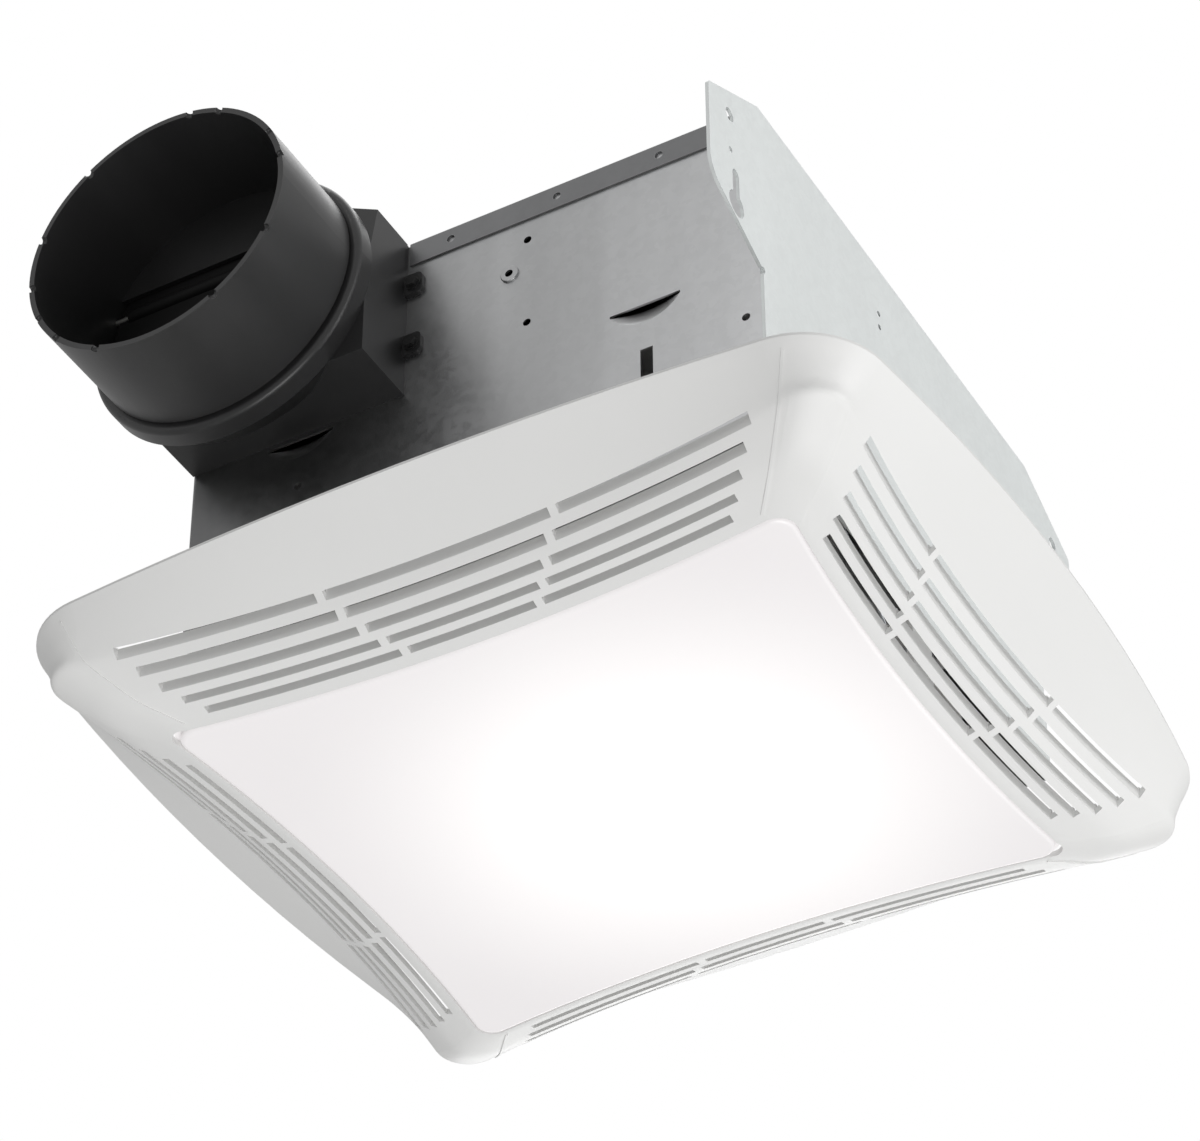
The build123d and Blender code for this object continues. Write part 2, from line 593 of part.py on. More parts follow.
def plate_screw_holes():
    """Holes for the plate's screws, through its flanges and the walls."""
    z = PLATE_Z - PLATE_FLANGE / 2
    holes = [bar_y(x, BACK_Y - 5, BACK_Y + 1, z, SCREW_HOLE_RADIUS) for x in PLATE_SCREW_PLACES]
    return Part() + holes


def plate_screws():
    """Screws through the plate's turned-down flange and the +Y wall."""
    screws = []
    length = 2 * SHEET + 2 * SEAT_GAP
    for x in PLATE_SCREW_PLACES:
        place = Pos(x, BACK_Y - length, PLATE_Z - PLATE_FLANGE / 2) * Rot(90, 0, 0)
        screws.append(place * screw(length, 1.6, 3.4, 1.8))
    return screws


def blower_wheel():
    """Squirrel-cage wheel: curved blades between a back disc with its hub and an inlet ring."""
    z0 = WHEEL_TOP_Z - WHEEL_HEIGHT
    disc = column(WHEEL_X, WHEEL_Y, WHEEL_TOP_Z - WHEEL_SHEET, WHEEL_TOP_Z, WHEEL_RADIUS)
    ring = column(WHEEL_X, WHEEL_Y, z0, z0 + WHEEL_SHEET, WHEEL_RADIUS)
    ring -= column(WHEEL_X, WHEEL_Y, z0 - 1, z0 + WHEEL_SHEET + 1, WHEEL_INNER)
    hub = column(WHEEL_X, WHEEL_Y, WHEEL_TOP_Z - HUB_LENGTH, WHEEL_TOP_Z, HUB_RADIUS)
    wheel = disc + ring + hub
    blade = extrude(blade_section(), WHEEL_HEIGHT - WHEEL_SHEET)
    turns = [Pos(WHEEL_X, WHEEL_Y, z0 + WHEEL_SHEET / 2) * Rot(0, 0, 360 * i / WHEEL_BLADES) * blade
             for i in range(WHEEL_BLADES)]
    wheel = wheel + turns
    return wheel - column(WHEEL_X, WHEEL_Y, z0, WHEEL_TOP_Z + 1, SHAFT_RADIUS)


def blade_section():
    """One forward-curved blade in plan, leaning forwards as it goes out."""
    r0 = WHEEL_INNER
    r1 = WHEEL_RADIUS - 0.2
    lean = math.radians(BLADE_SWEEP / 2)
    mid = (r0 + r1) / 2
    sag = math.radians(BLADE_SWEEP / 9)
    end = (r1 * math.cos(lean / 2), r1 * math.sin(lean / 2))
    middle = (mid * math.cos(sag / 2), mid * math.sin(sag / 2))
    line = ThreePointArc((r0, 0), middle, end)
    return trace(line, BLADE_THICK)


def wheel_clamp():
    """Spring band round the hub that grips it on the shaft."""
    z0 = WHEEL_TOP_Z - HUB_LENGTH + 1
    band = column(WHEEL_X, WHEEL_Y, z0, z0 + 5, HUB_RADIUS + 1.0)
    return band - column(WHEEL_X, WHEEL_Y, z0 - 1, z0 + 6, HUB_RADIUS)


def motor_shaft():
    """Steel shaft through the rotor, both bearings and the hub."""
    return column(WHEEL_X, WHEEL_Y, shaft_bottom_z(), WHEEL_TOP_Z - 2, SHAFT_RADIUS)


def shaft_bottom_z():
    """Lower end of the shaft, just below its lower bearing."""
    return STACK_Z - BRIDGE_GAP - BRIDGE_THICK - 3


def motor_rotor():
    """Solid rotor with its end rings."""
    z0 = STACK_Z - 1.5
    z1 = STACK_Z + STACK_HEIGHT + 1.5
    rotor = column(WHEEL_X, WHEEL_Y, z0, z1, ROTOR_RADIUS)
    return rotor - column(WHEEL_X, WHEEL_Y, z0 - 1, z1 + 1, SHAFT_RADIUS)


def motor_stator():
    """Stack of C-shaped laminations round the rotor, with a leg for the coil."""
    x0 = WHEEL_X - STACK_BACK
    x1 = WHEEL_X + STACK_FRONT
    z1 = STACK_Z + STACK_HEIGHT
    stack = block(x0, x1, WHEEL_Y - STACK_HALF_WIDTH, WHEEL_Y + STACK_HALF_WIDTH, STACK_Z, z1)
    stack = fillet(stack.edges().filter_by(Axis.Z), 3)
    below = STACK_Z - 1
    above = z1 + 1
    stack -= column(WHEEL_X, WHEEL_Y, below, above, ROTOR_RADIUS + AIR_GAP)
    stack -= block(window_x(), x1 - LEG_WIDTH, WHEEL_Y - WINDOW_HALF, WHEEL_Y + WINDOW_HALF, below, above)
    for side in (-1, 1):
        stack -= column(*stator_screw_place(side), below, above, STATOR_SCREW_RADIUS + 0.1)
        y0 = WHEEL_Y + side * (ROTOR_RADIUS + AIR_GAP + 1.2)
        y1 = y0 - side * 4
        stack -= block(WHEEL_X - 7, WHEEL_X - 4.8, min(y0, y1), max(y0, y1), below, above)
    return stack


def window_x():
    """Inner edge of the coil window."""
    return WHEEL_X + ROTOR_RADIUS + AIR_GAP + 2.8


def stator_screw_place(side):
    """Plan position of one of the two long stator screws."""
    return (WHEEL_X - STACK_BACK + 4.5, WHEEL_Y + side * (STACK_HALF_WIDTH - 4.5))


def shading_rings():
    """Copper shading rings in the slots of the poles."""
    rings = []
    for side in (-1, 1):
        y0 = WHEEL_Y + side * (ROTOR_RADIUS + AIR_GAP + 1.2)
        y1 = y0 - side * 1.6
        rings.append(block(WHEEL_X - 6.8, WHEEL_X - 5.0, min(y0, y1), max(y0, y1),
                           STACK_Z - 1.2, STACK_Z + STACK_HEIGHT + 1.2))
    return rings


def coil_block(grow_xz, half_y):
    """A block round the stator's leg, larger than the leg by grow_xz all round."""
    x1 = WHEEL_X + STACK_FRONT
    return block(x1 - LEG_WIDTH - grow_xz, x1 + grow_xz, WHEEL_Y - half_y, WHEEL_Y + half_y,
                 STACK_Z - grow_xz, STACK_Z + STACK_HEIGHT + grow_xz)


def motor_bobbin():
    """Plastic bobbin on the leg, a thin tube with two end cheeks."""
    half = WINDOW_HALF - 0.3
    tube = coil_block(BOBBIN_WALL, half)
    cheek = coil_block(COIL_BUILD, half) - coil_block(COIL_BUILD + 1, half - BOBBIN_WALL)
    return tube + cheek - coil_block(0.1, half + 1)


def motor_coil():
    """The winding, between the bobbin's cheeks."""
    half = WINDOW_HALF - 0.3 - BOBBIN_WALL - 0.1
    coil = coil_block(COIL_BUILD - 0.6, half)
    coil = fillet(coil.edges().filter_by(Axis.Y), 4)
    return coil - coil_block(BOBBIN_WALL + 0.1, half + 1)


def motor_bridge(upper):
    """Cast bridge across the stack that carries one bearing."""
    if upper:
        z0 = STACK_Z + STACK_HEIGHT + BRIDGE_GAP
    else:
        z0 = STACK_Z - BRIDGE_GAP - BRIDGE_THICK
    x_screw, y_screw = stator_screw_place(1)
    reach = y_screw - WHEEL_Y
    arm = block(WHEEL_X - 6, WHEEL_X + 6, WHEEL_Y - reach, WHEEL_Y + reach, z0, z0 + BRIDGE_THICK)
    bridge = arm + column(WHEEL_X, WHEEL_Y, z0, z0 + BRIDGE_THICK, BEARING_RADIUS + 4)
    for side in (-1, 1):
        x, y = stator_screw_place(side)
        bridge += block(x - 3.5, WHEEL_X, y - 4, y + 4, z0, z0 + BRIDGE_THICK)
        boss_z = (STACK_Z + STACK_HEIGHT, z0) if upper else (z0 + BRIDGE_THICK, STACK_Z)
        bridge += column(x, y, boss_z[0], boss_z[1], 3.4)
        bridge -= column(x, y, z0 - 20, z0 + 20, STATOR_SCREW_RADIUS + 0.1)
    return bridge - column(WHEEL_X, WHEEL_Y, z0 - 1, z0 + BRIDGE_THICK + 1, BEARING_RADIUS)


def motor_bearing(upper):
    """Bronze sleeve bearing in its bridge."""
    middle = STACK_Z + STACK_HEIGHT + BRIDGE_GAP if upper else STACK_Z - BRIDGE_GAP - BRIDGE_THICK
    middle += BRIDGE_THICK / 2
    z0 = middle - BRIDGE_THICK / 2
    sleeve = column(WHEEL_X, WHEEL_Y, z0, z0 + BRIDGE_THICK, BEARING_RADIUS)
    return sleeve - column(WHEEL_X, WHEEL_Y, z0 - 1, z0 + BRIDGE_THICK + 1, SHAFT_RADIUS + RUNNING_GAP)


def motor_bracket():
    """Strap below the motor; its feet are screwed to the blower plate on both sides of the inlet."""
    top_z = PLATE_Z - SEAT_GAP / 2
    x0 = WHEEL_X - BRACKET_WIDTH / 2 - 4
    x1 = x0 + BRACKET_WIDTH
    strap = block(x0, x1, WHEEL_Y - BRACKET_HALF_SPAN, WHEEL_Y + BRACKET_HALF_SPAN,
                  PAN_TOP_Z, PAN_TOP_Z + BRACKET_THICK)
    for side in (-1, 1):
        y0 = WHEEL_Y + side * BRACKET_HALF_SPAN
        y_in = y0 - side * BRACKET_THICK
        strap += block(x0, x1, min(y0, y_in), max(y0, y_in), PAN_TOP_Z, top_z)
        y_out = y0 + side * BRACKET_FOOT
        strap += block(x0, x1, min(y0, y_out), max(y0, y_out), top_z - BRACKET_THICK, top_z)
        strap -= column(WHEEL_X, WHEEL_Y + side * bracket_screw_y(), top_z - 4, top_z + 1, 1.7)
        strap -= column(*stator_screw_place(side), PAN_TOP_Z - 1, PAN_TOP_Z + 3, STATOR_SCREW_RADIUS + 0.1)
    strap -= column(WHEEL_X, WHEEL_Y, PAN_TOP_Z - 1, PAN_TOP_Z + 3, SHAFT_RADIUS + 2)
    for y in pan_stud_places():
        strap -= column(pan_stud_x(), y, PAN_TOP_Z - 1, PAN_TOP_Z + 3, 2.1)
    return strap


def bracket_screws():
    """Screws that hold the feet of the motor bracket to the blower plate."""
    screws = []
    for side in (-1, 1):
        z = PLATE_Z - SEAT_GAP / 2 - BRACKET_THICK
        place = Pos(WHEEL_X, WHEEL_Y + side * bracket_screw_y(), z) * Rot(180, 0, 0)
        screws.append(place * screw(BRACKET_THICK + SHEET + 1.5, 1.6, 3.6, 1.8))
    return screws


def stator_screws():
    """Two long screws through bracket, bridges and stack, with spacers under the motor."""
    pieces = []
    top = STACK_Z + STACK_HEIGHT + BRIDGE_GAP + BRIDGE_THICK
    for side in (-1, 1):
        x, y = stator_screw_place(side)
        pieces.append(Pos(x, y, top) * screw(top - PAN_TOP_Z, STATOR_SCREW_RADIUS, 2.9, 1.8))
    return pieces


def motor_spacers():
    """Tubes that hold the motor off its bracket."""
    tubes = []
    for side in (-1, 1):
        x, y = stator_screw_place(side)
        z0 = PAN_TOP_Z + BRACKET_THICK
        z1 = STACK_Z - BRIDGE_GAP - BRIDGE_THICK
        tubes.append(column(x, y, z0, z1, 3.4) - column(x, y, z0 - 1, z1 + 1, STATOR_SCREW_RADIUS + 0.1))
    return tubes


def pan_stud_x():
    """The reflector's studs stand clear of the shaft, on the bracket's centre line."""
    return WHEEL_X - 4


def pan_stud_places():
    """The y positions of the two studs that hold the reflector."""
    return (WHEEL_Y - 38.0, WHEEL_Y + 38.0)


def pan_section(half_x, half_y, z, corner):
    """One rounded rectangle of the reflector pan."""
    return Pos(0, 0, z) * RectangleRounded(2 * half_x, 2 * half_y, corner)


def reflector_pan():
    """White pan over the lamp: a tapering dish with a turned-out rim."""
    rim = (PAN_HALF_X, PAN_HALF_Y)
    top = (PAN_HALF_X - PAN_TAPER, PAN_HALF_Y - PAN_TAPER)
    outer = loft([pan_section(*rim, PAN_RIM_Z, PAN_CORNER), pan_section(*top, PAN_TOP_Z, PAN_CORNER)])
    inner = loft([pan_section(rim[0] - SHEET, rim[1] - SHEET, PAN_RIM_Z - 0.01, PAN_CORNER - SHEET),
                  pan_section(top[0] - SHEET, top[1] - SHEET, PAN_TOP_Z - SHEET, PAN_CORNER - SHEET)])
    pan = outer - inner
    lip = extrude(pan_section(rim[0] + 2.5, rim[1] + 2.5, PAN_RIM_Z, PAN_CORNER + 2.5), SHEET)
    lip -= extrude(pan_section(rim[0] - SHEET, rim[1] - SHEET, PAN_RIM_Z - 1, PAN_CORNER - SHEET), 3)
    pan += lip
    for y in pan_stud_places():
        pan -= column(pan_stud_x(), y, PAN_TOP_Z - 3, PAN_TOP_Z + 1, 2.1)
    for side in (-1, 1):
        pan -= column(*stator_screw_place(side), PAN_TOP_Z - 3, PAN_TOP_Z + 1, 2.4)
    pan -= column(LAMP_REAR_X - 12, 0, PAN_TOP_Z - 3, PAN_TOP_Z + 1, 1.7)
    return pan


def reflector_studs():
    """Studs down from the bracket, each with a round nut under the pan."""
    studs = []
    for y in pan_stud_places():
        x = pan_stud_x()
        stud = column(x, y, PAN_TOP_Z - SHEET - 6, PAN_TOP_Z + BRACKET_THICK, 2.0)
        head = column(x, y, PAN_TOP_Z + BRACKET_THICK, PAN_TOP_Z + BRACKET_THICK + 1.6, 4.0)
        studs.append(stud + head)
    return studs


def reflector_nuts():
    """Knurled nuts on the studs."""
    nuts = []
    for y in pan_stud_places():
        z1 = PAN_TOP_Z - SHEET
        nut = Pos(pan_stud_x(), y, z1 - 4) * hex_head(5.5, 4)
        nuts.append(nut - column(pan_stud_x(), y, z1 - 5, z1 + 1, 2.0))
    return nuts


def socket_bracket():
    """Angle under the pan that carries the lamp socket by its rear face."""
    z_top = PAN_TOP_Z - SHEET
    foot = block(LAMP_REAR_X - 22, LAMP_REAR_X + 1.2, -10, 10, z_top - 1.2, z_top)
    web = block(LAMP_REAR_X, LAMP_REAR_X + 1.2, -10, 10, LAMP_Z - 8, z_top)
    bracket = foot + web
    bracket -= column(LAMP_REAR_X - 12, 0, z_top - 3, z_top + 1, 1.7)
    return bracket - bar_x(LAMP_REAR_X - 1, LAMP_REAR_X + 3, 0, LAMP_Z, 2.6)


def socket_screws():
    """Screw through the pan into the socket bracket, and the stud that holds the socket to it."""
    z_top = PAN_TOP_Z
    upper = Pos(LAMP_REAR_X - 12, 0, z_top) * screw(SHEET + 1.2 + 1.5, 1.6, 3.4, 1.6)
    rear = Pos(LAMP_REAR_X + 1.2, 0, LAMP_Z) * Rot(0, 90, 0) * screw(1.2 + 3.0, 2.5, 4.2, 2.4)
    return [upper, rear]


def lamp_socket():
    """Insulating body of the lamp holder."""
    x0 = LAMP_REAR_X - SOCKET_LENGTH
    body = bar_x(x0, LAMP_REAR_X, 0, LAMP_Z, SOCKET_RADIUS)
    body = fillet(body.edges().group_by(Axis.X)[0], 1.5)
    body -= bar_x(x0 - 1, LAMP_REAR_X - 6, 0, LAMP_Z, BASE_THREAD_RADIUS + 0.9 + 0.1)
    return body - bar_x(LAMP_REAR_X - 3.1, LAMP_REAR_X + 1, 0, LAMP_Z, 2.55)


def socket_shell():
    """Brass screw shell inside the holder, closed by its centre contact plate."""
    x0 = LAMP_REAR_X - SOCKET_LENGTH + 2
    shell = bar_x(x0, LAMP_REAR_X - 6.1, 0, LAMP_Z, BASE_THREAD_RADIUS + 0.9)
    return shell - bar_x(x0 - 1, LAMP_REAR_X - 6.9, 0, LAMP_Z, BASE_THREAD_RADIUS + 0.3)


def bulb_base():
    """Threaded base of the bulb with its contact button."""
    x1 = LAMP_REAR_X - 8.2
    x0 = x1 - BASE_THREAD_LENGTH + 2
    base = bar_x(x0, x1 - 2, 0, LAMP_Z, BASE_THREAD_RADIUS)
    for i in range(5):
        groove_x = x0 + 5 + 3.3 * i
        ring = bar_x(groove_x, groove_x + 1.4, 0, LAMP_Z, BASE_THREAD_RADIUS + 1)
        base -= ring - bar_x(groove_x, groove_x + 1.4, 0, LAMP_Z, BASE_THREAD_RADIUS - 0.7)
    return base + bar_x(x1 - 2, x1 + 1.3, 0, LAMP_Z, 5.0)


def bulb_glass():
    """Frosted glass envelope, a neck that swells to a globe."""
    x1 = LAMP_REAR_X - 8.2 - BASE_THREAD_LENGTH + 2
    globe_x = x1 - BULB_LENGTH + BULB_RADIUS
    outline = [
        Line((0, 0), (BULB_NECK - 1.0, 0)),
        Line((BULB_NECK - 1.0, 0), (BULB_NECK, 6)),
    ]
    neck_end = (BULB_NECK, 6)
    angle = math.radians(28)
    shoulder = (BULB_RADIUS * math.cos(angle), x1 - globe_x - BULB_RADIUS * math.sin(angle))
    blend = Spline([neck_end, shoulder], tangents=[(0, 1), (math.sin(angle), math.cos(angle))])
    pole = (0, BULB_LENGTH)
    equator = (BULB_RADIUS, x1 - globe_x)
    cap = ThreePointArc(shoulder, equator, pole)
    profile = make_face(outline[0] + outline[1] + blend + cap + Line(pole, (0, 0)))
    glass = revolve(profile, Axis.Y)
    return Pos(x1, 0, LAMP_Z) * Rot(0, 0, 90) * glass


def wiring_cover():
    """Folded cover that closes the wiring compartment against the +Y wall."""
    x0 = WIRING_X - WIRING_WIDTH / 2
    x1 = WIRING_X + WIRING_WIDTH / 2
    y1 = BACK_Y - SHEET - SEAT_GAP
    y0 = y1 - WIRING_DEPTH
    z1 = PLATE_Z - PLATE_FLANGE - 1
    cover = block(x0, x1, y0, y1, WIRING_BOTTOM, z1)
    cover -= block(x0 + SHEET, x1 - SHEET, y0 + SHEET, y1 + 1, WIRING_BOTTOM + SHEET, z1 + 1)
    width, depth, _ = RECEPTACLE
    for x in receptacle_places():
        window = Box(width + 2 * SEAT_GAP, depth + 2 * SEAT_GAP, 4)
        cover -= Pos(x, receptacle_y(), WIRING_BOTTOM) * window
    tab = block(x1 - 0.1, x1 + 12, y1 - SHEET, y1, WIRING_BOTTOM + 6, WIRING_BOTTOM + 18)
    cover += tab
    return cover - bar_y(x1 + 6, y1 - 3, y1 + 1, WIRING_BOTTOM + 12, 1.7)


def receptacle_places():
    """The x positions of the two plug-in receptacles."""
    return (WIRING_X - RECEPTACLE_PITCH / 2, WIRING_X + RECEPTACLE_PITCH / 2)


def receptacle_y():
    """Both receptacles sit in the middle of the cover's floor."""
    return BACK_Y - SHEET - SEAT_GAP - WIRING_DEPTH / 2


def receptacle(x):
    """Two-slot receptacle facing down through the cover's floor, with a rim below it."""
    y = receptacle_y()
    width, depth, height = RECEPTACLE
    body = Pos(x, y, WIRING_BOTTOM + height / 2) * Box(width, depth, height)
    body += Pos(x, y, WIRING_BOTTOM - 0.75) * Box(width + 3, depth + 3, 1.5)
    for side in (-1, 1):
        slot_x = x + side * 6.4
        body -= block(slot_x - 1, slot_x + 1, y - 4, y + 4, WIRING_BOTTOM - 2, WIRING_BOTTOM + 12)
    return body


def wiring_screws():
    """The cover's screw, and the green screw for the earth wire on the wall."""
    x1 = WIRING_X + WIRING_WIDTH / 2
    y1 = BACK_Y - SHEET - SEAT_GAP - SHEET
    return Pos(x1 + 6, y1, WIRING_BOTTOM + 12) * Rot(90, 0, 0) * screw(SHEET + SEAT_GAP, 1.6, 3.2, 1.8)


def ground_screw_x():
    """The earth screw stands beside the knockout."""
    return WIRING_X + 32


def ground_screw():
    """Green screw for the earth wire, on the wall inside the compartment."""
    place = Pos(ground_screw_x(), BACK_Y - SHEET, KNOCKOUT_Z + 4) * Rot(90, 0, 0)
    return place * screw(SHEET, 1.6, 3.6, 2.0)


def rim_corner(inset):
    """Where two bowed-out sides of the rim meet, before that corner is rounded."""
    half_x = RIM_HALF_X - inset
    half_y = RIM_HALF_Y - inset
    x, y = half_x, half_y
    for _ in range(20):
        x = half_x - y * y / (2 * RIM_BOW_SIDE)
        y = half_y - x * x / (2 * RIM_BOW_FRONT)
    return x, y


def rim_outline(inset):
    """Outline of the grille's rim: bowed-out sides and round corners."""
    x, y = rim_corner(inset)
    return bowed_face(RIM_HALF_X - inset, RIM_HALF_Y - inset, x, y, RIM_CORNER - inset)


def rim_prism(inset, top):
    """The rim outline as an upright prism, from below the lens to a height."""
    return Pos(0, 0, LENS_Z - 5) * extrude(rim_outline(inset), top - LENS_Z + 5)


def pillow_corner(grow):
    """Where two bowed sides of a contour meet, before that corner is rounded."""
    half_x = LENS_HALF_X + grow
    half_y = LENS_HALF_Y + grow
    x, y = half_x, half_y
    for _ in range(20):
        x = half_x + y * y / (2 * BOW_RADIUS)
        y = half_y + x * x / (2 * BOW_RADIUS)
    return x, y


def pillow_outline(grow, corner):
    """One contour of the pillow: the lens outline moved out by grow, its sides bowed in."""
    x, y = pillow_corner(grow)
    return bowed_face(LENS_HALF_X + grow, LENS_HALF_Y + grow, x, y, corner)


def bowed_face(half_x, half_y, corner_x, corner_y, radius):
    """A face bounded by four arcs through the side middles and the corners, with rounded corners."""
    front = ThreePointArc((-corner_x, -corner_y), (0, -half_y), (corner_x, -corner_y))
    right = ThreePointArc((corner_x, -corner_y), (half_x, 0), (corner_x, corner_y))
    back = ThreePointArc((corner_x, corner_y), (0, half_y), (-corner_x, corner_y))
    left = ThreePointArc((-corner_x, corner_y), (-half_x, 0), (-corner_x, -corner_y))
    face = make_face(front + right + back + left)
    return fillet(face.vertices(), radius)


def pillow_points(overrun):
    """The pillow's profile: distance outside the lens and height, curve first and then the flank."""
    points = list(PILLOW_CURVE)
    s, h = points[-1]
    step_s = (RIM_HALF_X - LENS_HALF_X - s) / FLANK_STEPS
    step_h = (-RIM_LIP - LENS_Z - h) / FLANK_STEPS
    for i in range(1, FLANK_STEPS + overrun + 1):
        points.append((s + i * step_s, h + i * step_h))
    return points


def mixed(a, b, share):
    """The value that lies at a share of the way from a to b."""
    return a + (b - a) * share


def pillow_contour(s, inset):
    """Contour at a distance s outside the lens: beyond the slots it turns into the rim outline."""
    reach = PILLOW_CURVE[-1][0]
    share = max(0.0, (s - reach) / (RIM_HALF_X - LENS_HALF_X - reach))
    inner = min(s, reach)
    x, y = pillow_corner(inner)
    rim_x, rim_y = rim_corner(0)
    half_x = mixed(LENS_HALF_X + inner, RIM_HALF_X, share)
    half_y = mixed(LENS_HALF_Y + inner, RIM_HALF_Y, share)
    radius = mixed(LENS_CORNER + PILLOW_CORNER_GROWTH * inner, RIM_CORNER, share)
    return bowed_face(half_x - inset, half_y - inset, mixed(x, rim_x, share) - inset,
                      mixed(y, rim_y, share) - inset, radius)


def pillow_solid(inset, drop, overrun):
    """The pillow up to the rim and some steps on, its skin moved inwards by inset."""
    sections = []
    points = pillow_points(overrun)
    for i, (s, h) in enumerate(points):
        s_a, h_a = points[max(i - 1, 0)]
        s_b, h_b = points[min(i + 1, len(points) - 1)]
        slope = math.atan2(h_b - h_a, s_b - s_a)
        z = LENS_Z + h + inset * math.cos(slope) - drop
        sections.append(Pos(0, 0, z) * pillow_contour(s, inset * math.sin(slope)))
    return loft(sections)


def slot_end(row, front):
    """Half the length of a row of slots."""
    return (FRONT_SLOT_HALF if front else SIDE_SLOT_HALF) + SLOT_GROWTH * row


def bowed_strip(row, front, a, b, near_edge, far_edge):
    """A bowed strip in plan beside a row's centre line, from a to b along the row."""
    base = (LENS_HALF_Y if front else LENS_HALF_X) + SLOT_FIRST + SLOT_PITCH * row
    mid = (a + b) / 2

    def at(t, shift):
        return (t, -(base + shift + t * t / (2 * BOW_RADIUS)))

    near = ThreePointArc(at(a, near_edge), at(mid, near_edge), at(b, near_edge))
    far = ThreePointArc(at(a, far_edge), at(mid, far_edge), at(b, far_edge))
    strip = make_face(near + Line(at(b, near_edge), at(b, far_edge)) + far
                      + Line(at(a, far_edge), at(a, near_edge)))
    return strip if front else Rot(0, 0, 90) * strip


def slot_strip(row, front, part):
    """One slot segment in plan; part is -1, 0 or 1 along the row."""
    end = slot_end(row, front)
    bridge = FRONT_BRIDGE + FRONT_BRIDGE_STEP * row if front else SIDE_BRIDGE + SIDE_BRIDGE_STEP * row
    if part == 0:
        a, b = -bridge + BRIDGE_WIDTH / 2, bridge - BRIDGE_WIDTH / 2
    else:
        a, b = sorted((part * (bridge + BRIDGE_WIDTH / 2), part * end))
    return bowed_strip(row, front, a, b, -SLOT_WIDTH / 2, SLOT_WIDTH / 2)


def grille_slots():
    """All slot cutters: five bowed rows of three segments on each of the four sides."""
    cutters = []
    for row in range(SLOT_ROWS):
        for part in (-1, 0, 1):
            for front in (True, False):
                strip = extrude(slot_strip(row, front, part), -LENS_Z + 10)
                strip = Pos(0, 0, LENS_Z - 8) * strip
                cutters += [strip, Rot(0, 0, 180) * strip]
    return cutters


def louvre_blades():
    """Upright blades inside the skin, one beside each row of slots, that hide the fan's inside."""
    middle = GRILLE_WALL / 2
    band = pillow_solid(middle, 0, 0) - pillow_solid(middle, -LOUVRE_DEPTH, 0)
    edge = -SLOT_WIDTH / 2
    lap = LOUVRE_BLADE / 4
    strips = Part()
    for row in range(SLOT_ROWS):
        for front in (True, False):
            end = slot_end(row, front) + LOUVRE_BLADE
            face = bowed_strip(row, front, -end, end, edge - LOUVRE_BLADE, edge + lap)
            strip = Pos(0, 0, LENS_Z) * extrude(face, -LENS_Z)
            strips += strip
            strips += Rot(0, 0, 180) * strip
    return band & strips


def corner_centre():
    """Centre of the round corner of the lens opening in the first quadrant."""
    x, y = pillow_corner(0)
    half_angle = math.pi / 4 - (math.atan2(x, BOW_RADIUS) + math.atan2(y, BOW_RADIUS)) / 2
    back = LENS_CORNER / math.sin(half_angle) / math.sqrt(2)
    return x - back, y - back


def skin_z(s):
    """Height of the grille's inner face at a distance s outside the lens."""
    points = pillow_points(0)
    for (s_a, h_a), (s_b, h_b) in zip(points, points[1:]):
        if s <= s_b:
            return LENS_Z + GRILLE_WALL + h_a + (h_b - h_a) * (s - s_a) / (s_b - s_a)


def grille():
    """White moulded grille: pillow skin, short skirt, slots, corner ribs and two spring posts."""
    outer = pillow_solid(0, 0, 1) & rim_prism(0, 0)
    inner = pillow_solid(GRILLE_WALL, 0, FLANK_OVERRUN) & rim_prism(GRILLE_WALL, 20)
    shell = outer - inner
    shell -= Pos(0, 0, LENS_Z - 5) * extrude(pillow_outline(0, LENS_CORNER), 20)
    shell += corner_ribs()
    shell += louvre_blades()
    shell -= grille_slots()
    cx, cy = corner_centre()
    notch_x = cx + FINGER_NOTCH_SHIFT / math.sqrt(2)
    notch_y = cy + FINGER_NOTCH_SHIFT / math.sqrt(2)
    for side in (-1, 1):
        shell -= column(side * notch_x, side * notch_y, LENS_Z - 5, LENS_Z + 10, FINGER_NOTCH_RADIUS)
        shell += spring_post(side)
    return shell


def corner_ribs():
    """Fine raised lines that part the front and back flanks from the corners."""
    skin = pillow_solid(0, CORNER_RIB_HEIGHT, 1) - pillow_solid(GRILLE_WALL / 2, 0, FLANK_OVERRUN)
    foot_x, foot_y = CORNER_RIB_FOOT
    top_x, top_y = CORNER_RIB_TOP
    length = math.hypot(top_x - foot_x, top_y - foot_y)
    half = CORNER_RIB_WIDTH / 2
    blades = Part()
    for sx in (-1, 1):
        for sy in (-1, 1):
            turn = math.degrees(math.atan2(sy * (top_y - foot_y), sx * (top_x - foot_x)))
            blade = block(0, length, -half, half, LENS_Z - 2, -RIM_LIP)
            blades += Pos(sx * foot_x, sy * foot_y, 0) * Rot(0, 0, turn) * blade
    return skin & blades & rim_prism(0.2, 0)


def post_x(side):
    """Inner face of a spring post, on the strip between the lens and the slots."""
    return side * (LENS_HALF_X + 1.2)


def spring_post(side):
    """Post on the grille with a peg that carries the spring's coil."""
    x0 = post_x(side)
    x1 = x0 + side * POST_THICK
    z0 = LENS_Z + GRILLE_WALL * 0.8
    post = block(min(x0, x1), max(x0, x1), -POST_WIDTH / 2, POST_WIDTH / 2, z0, SPRING_Z + PEG_RADIUS + 1)
    inner = spring_x(side) - side * (COIL_LENGTH / 2 + 1)
    post += bar_x(min(x0, inner), max(x0, inner), 0, SPRING_Z, PEG_RADIUS)
    return post


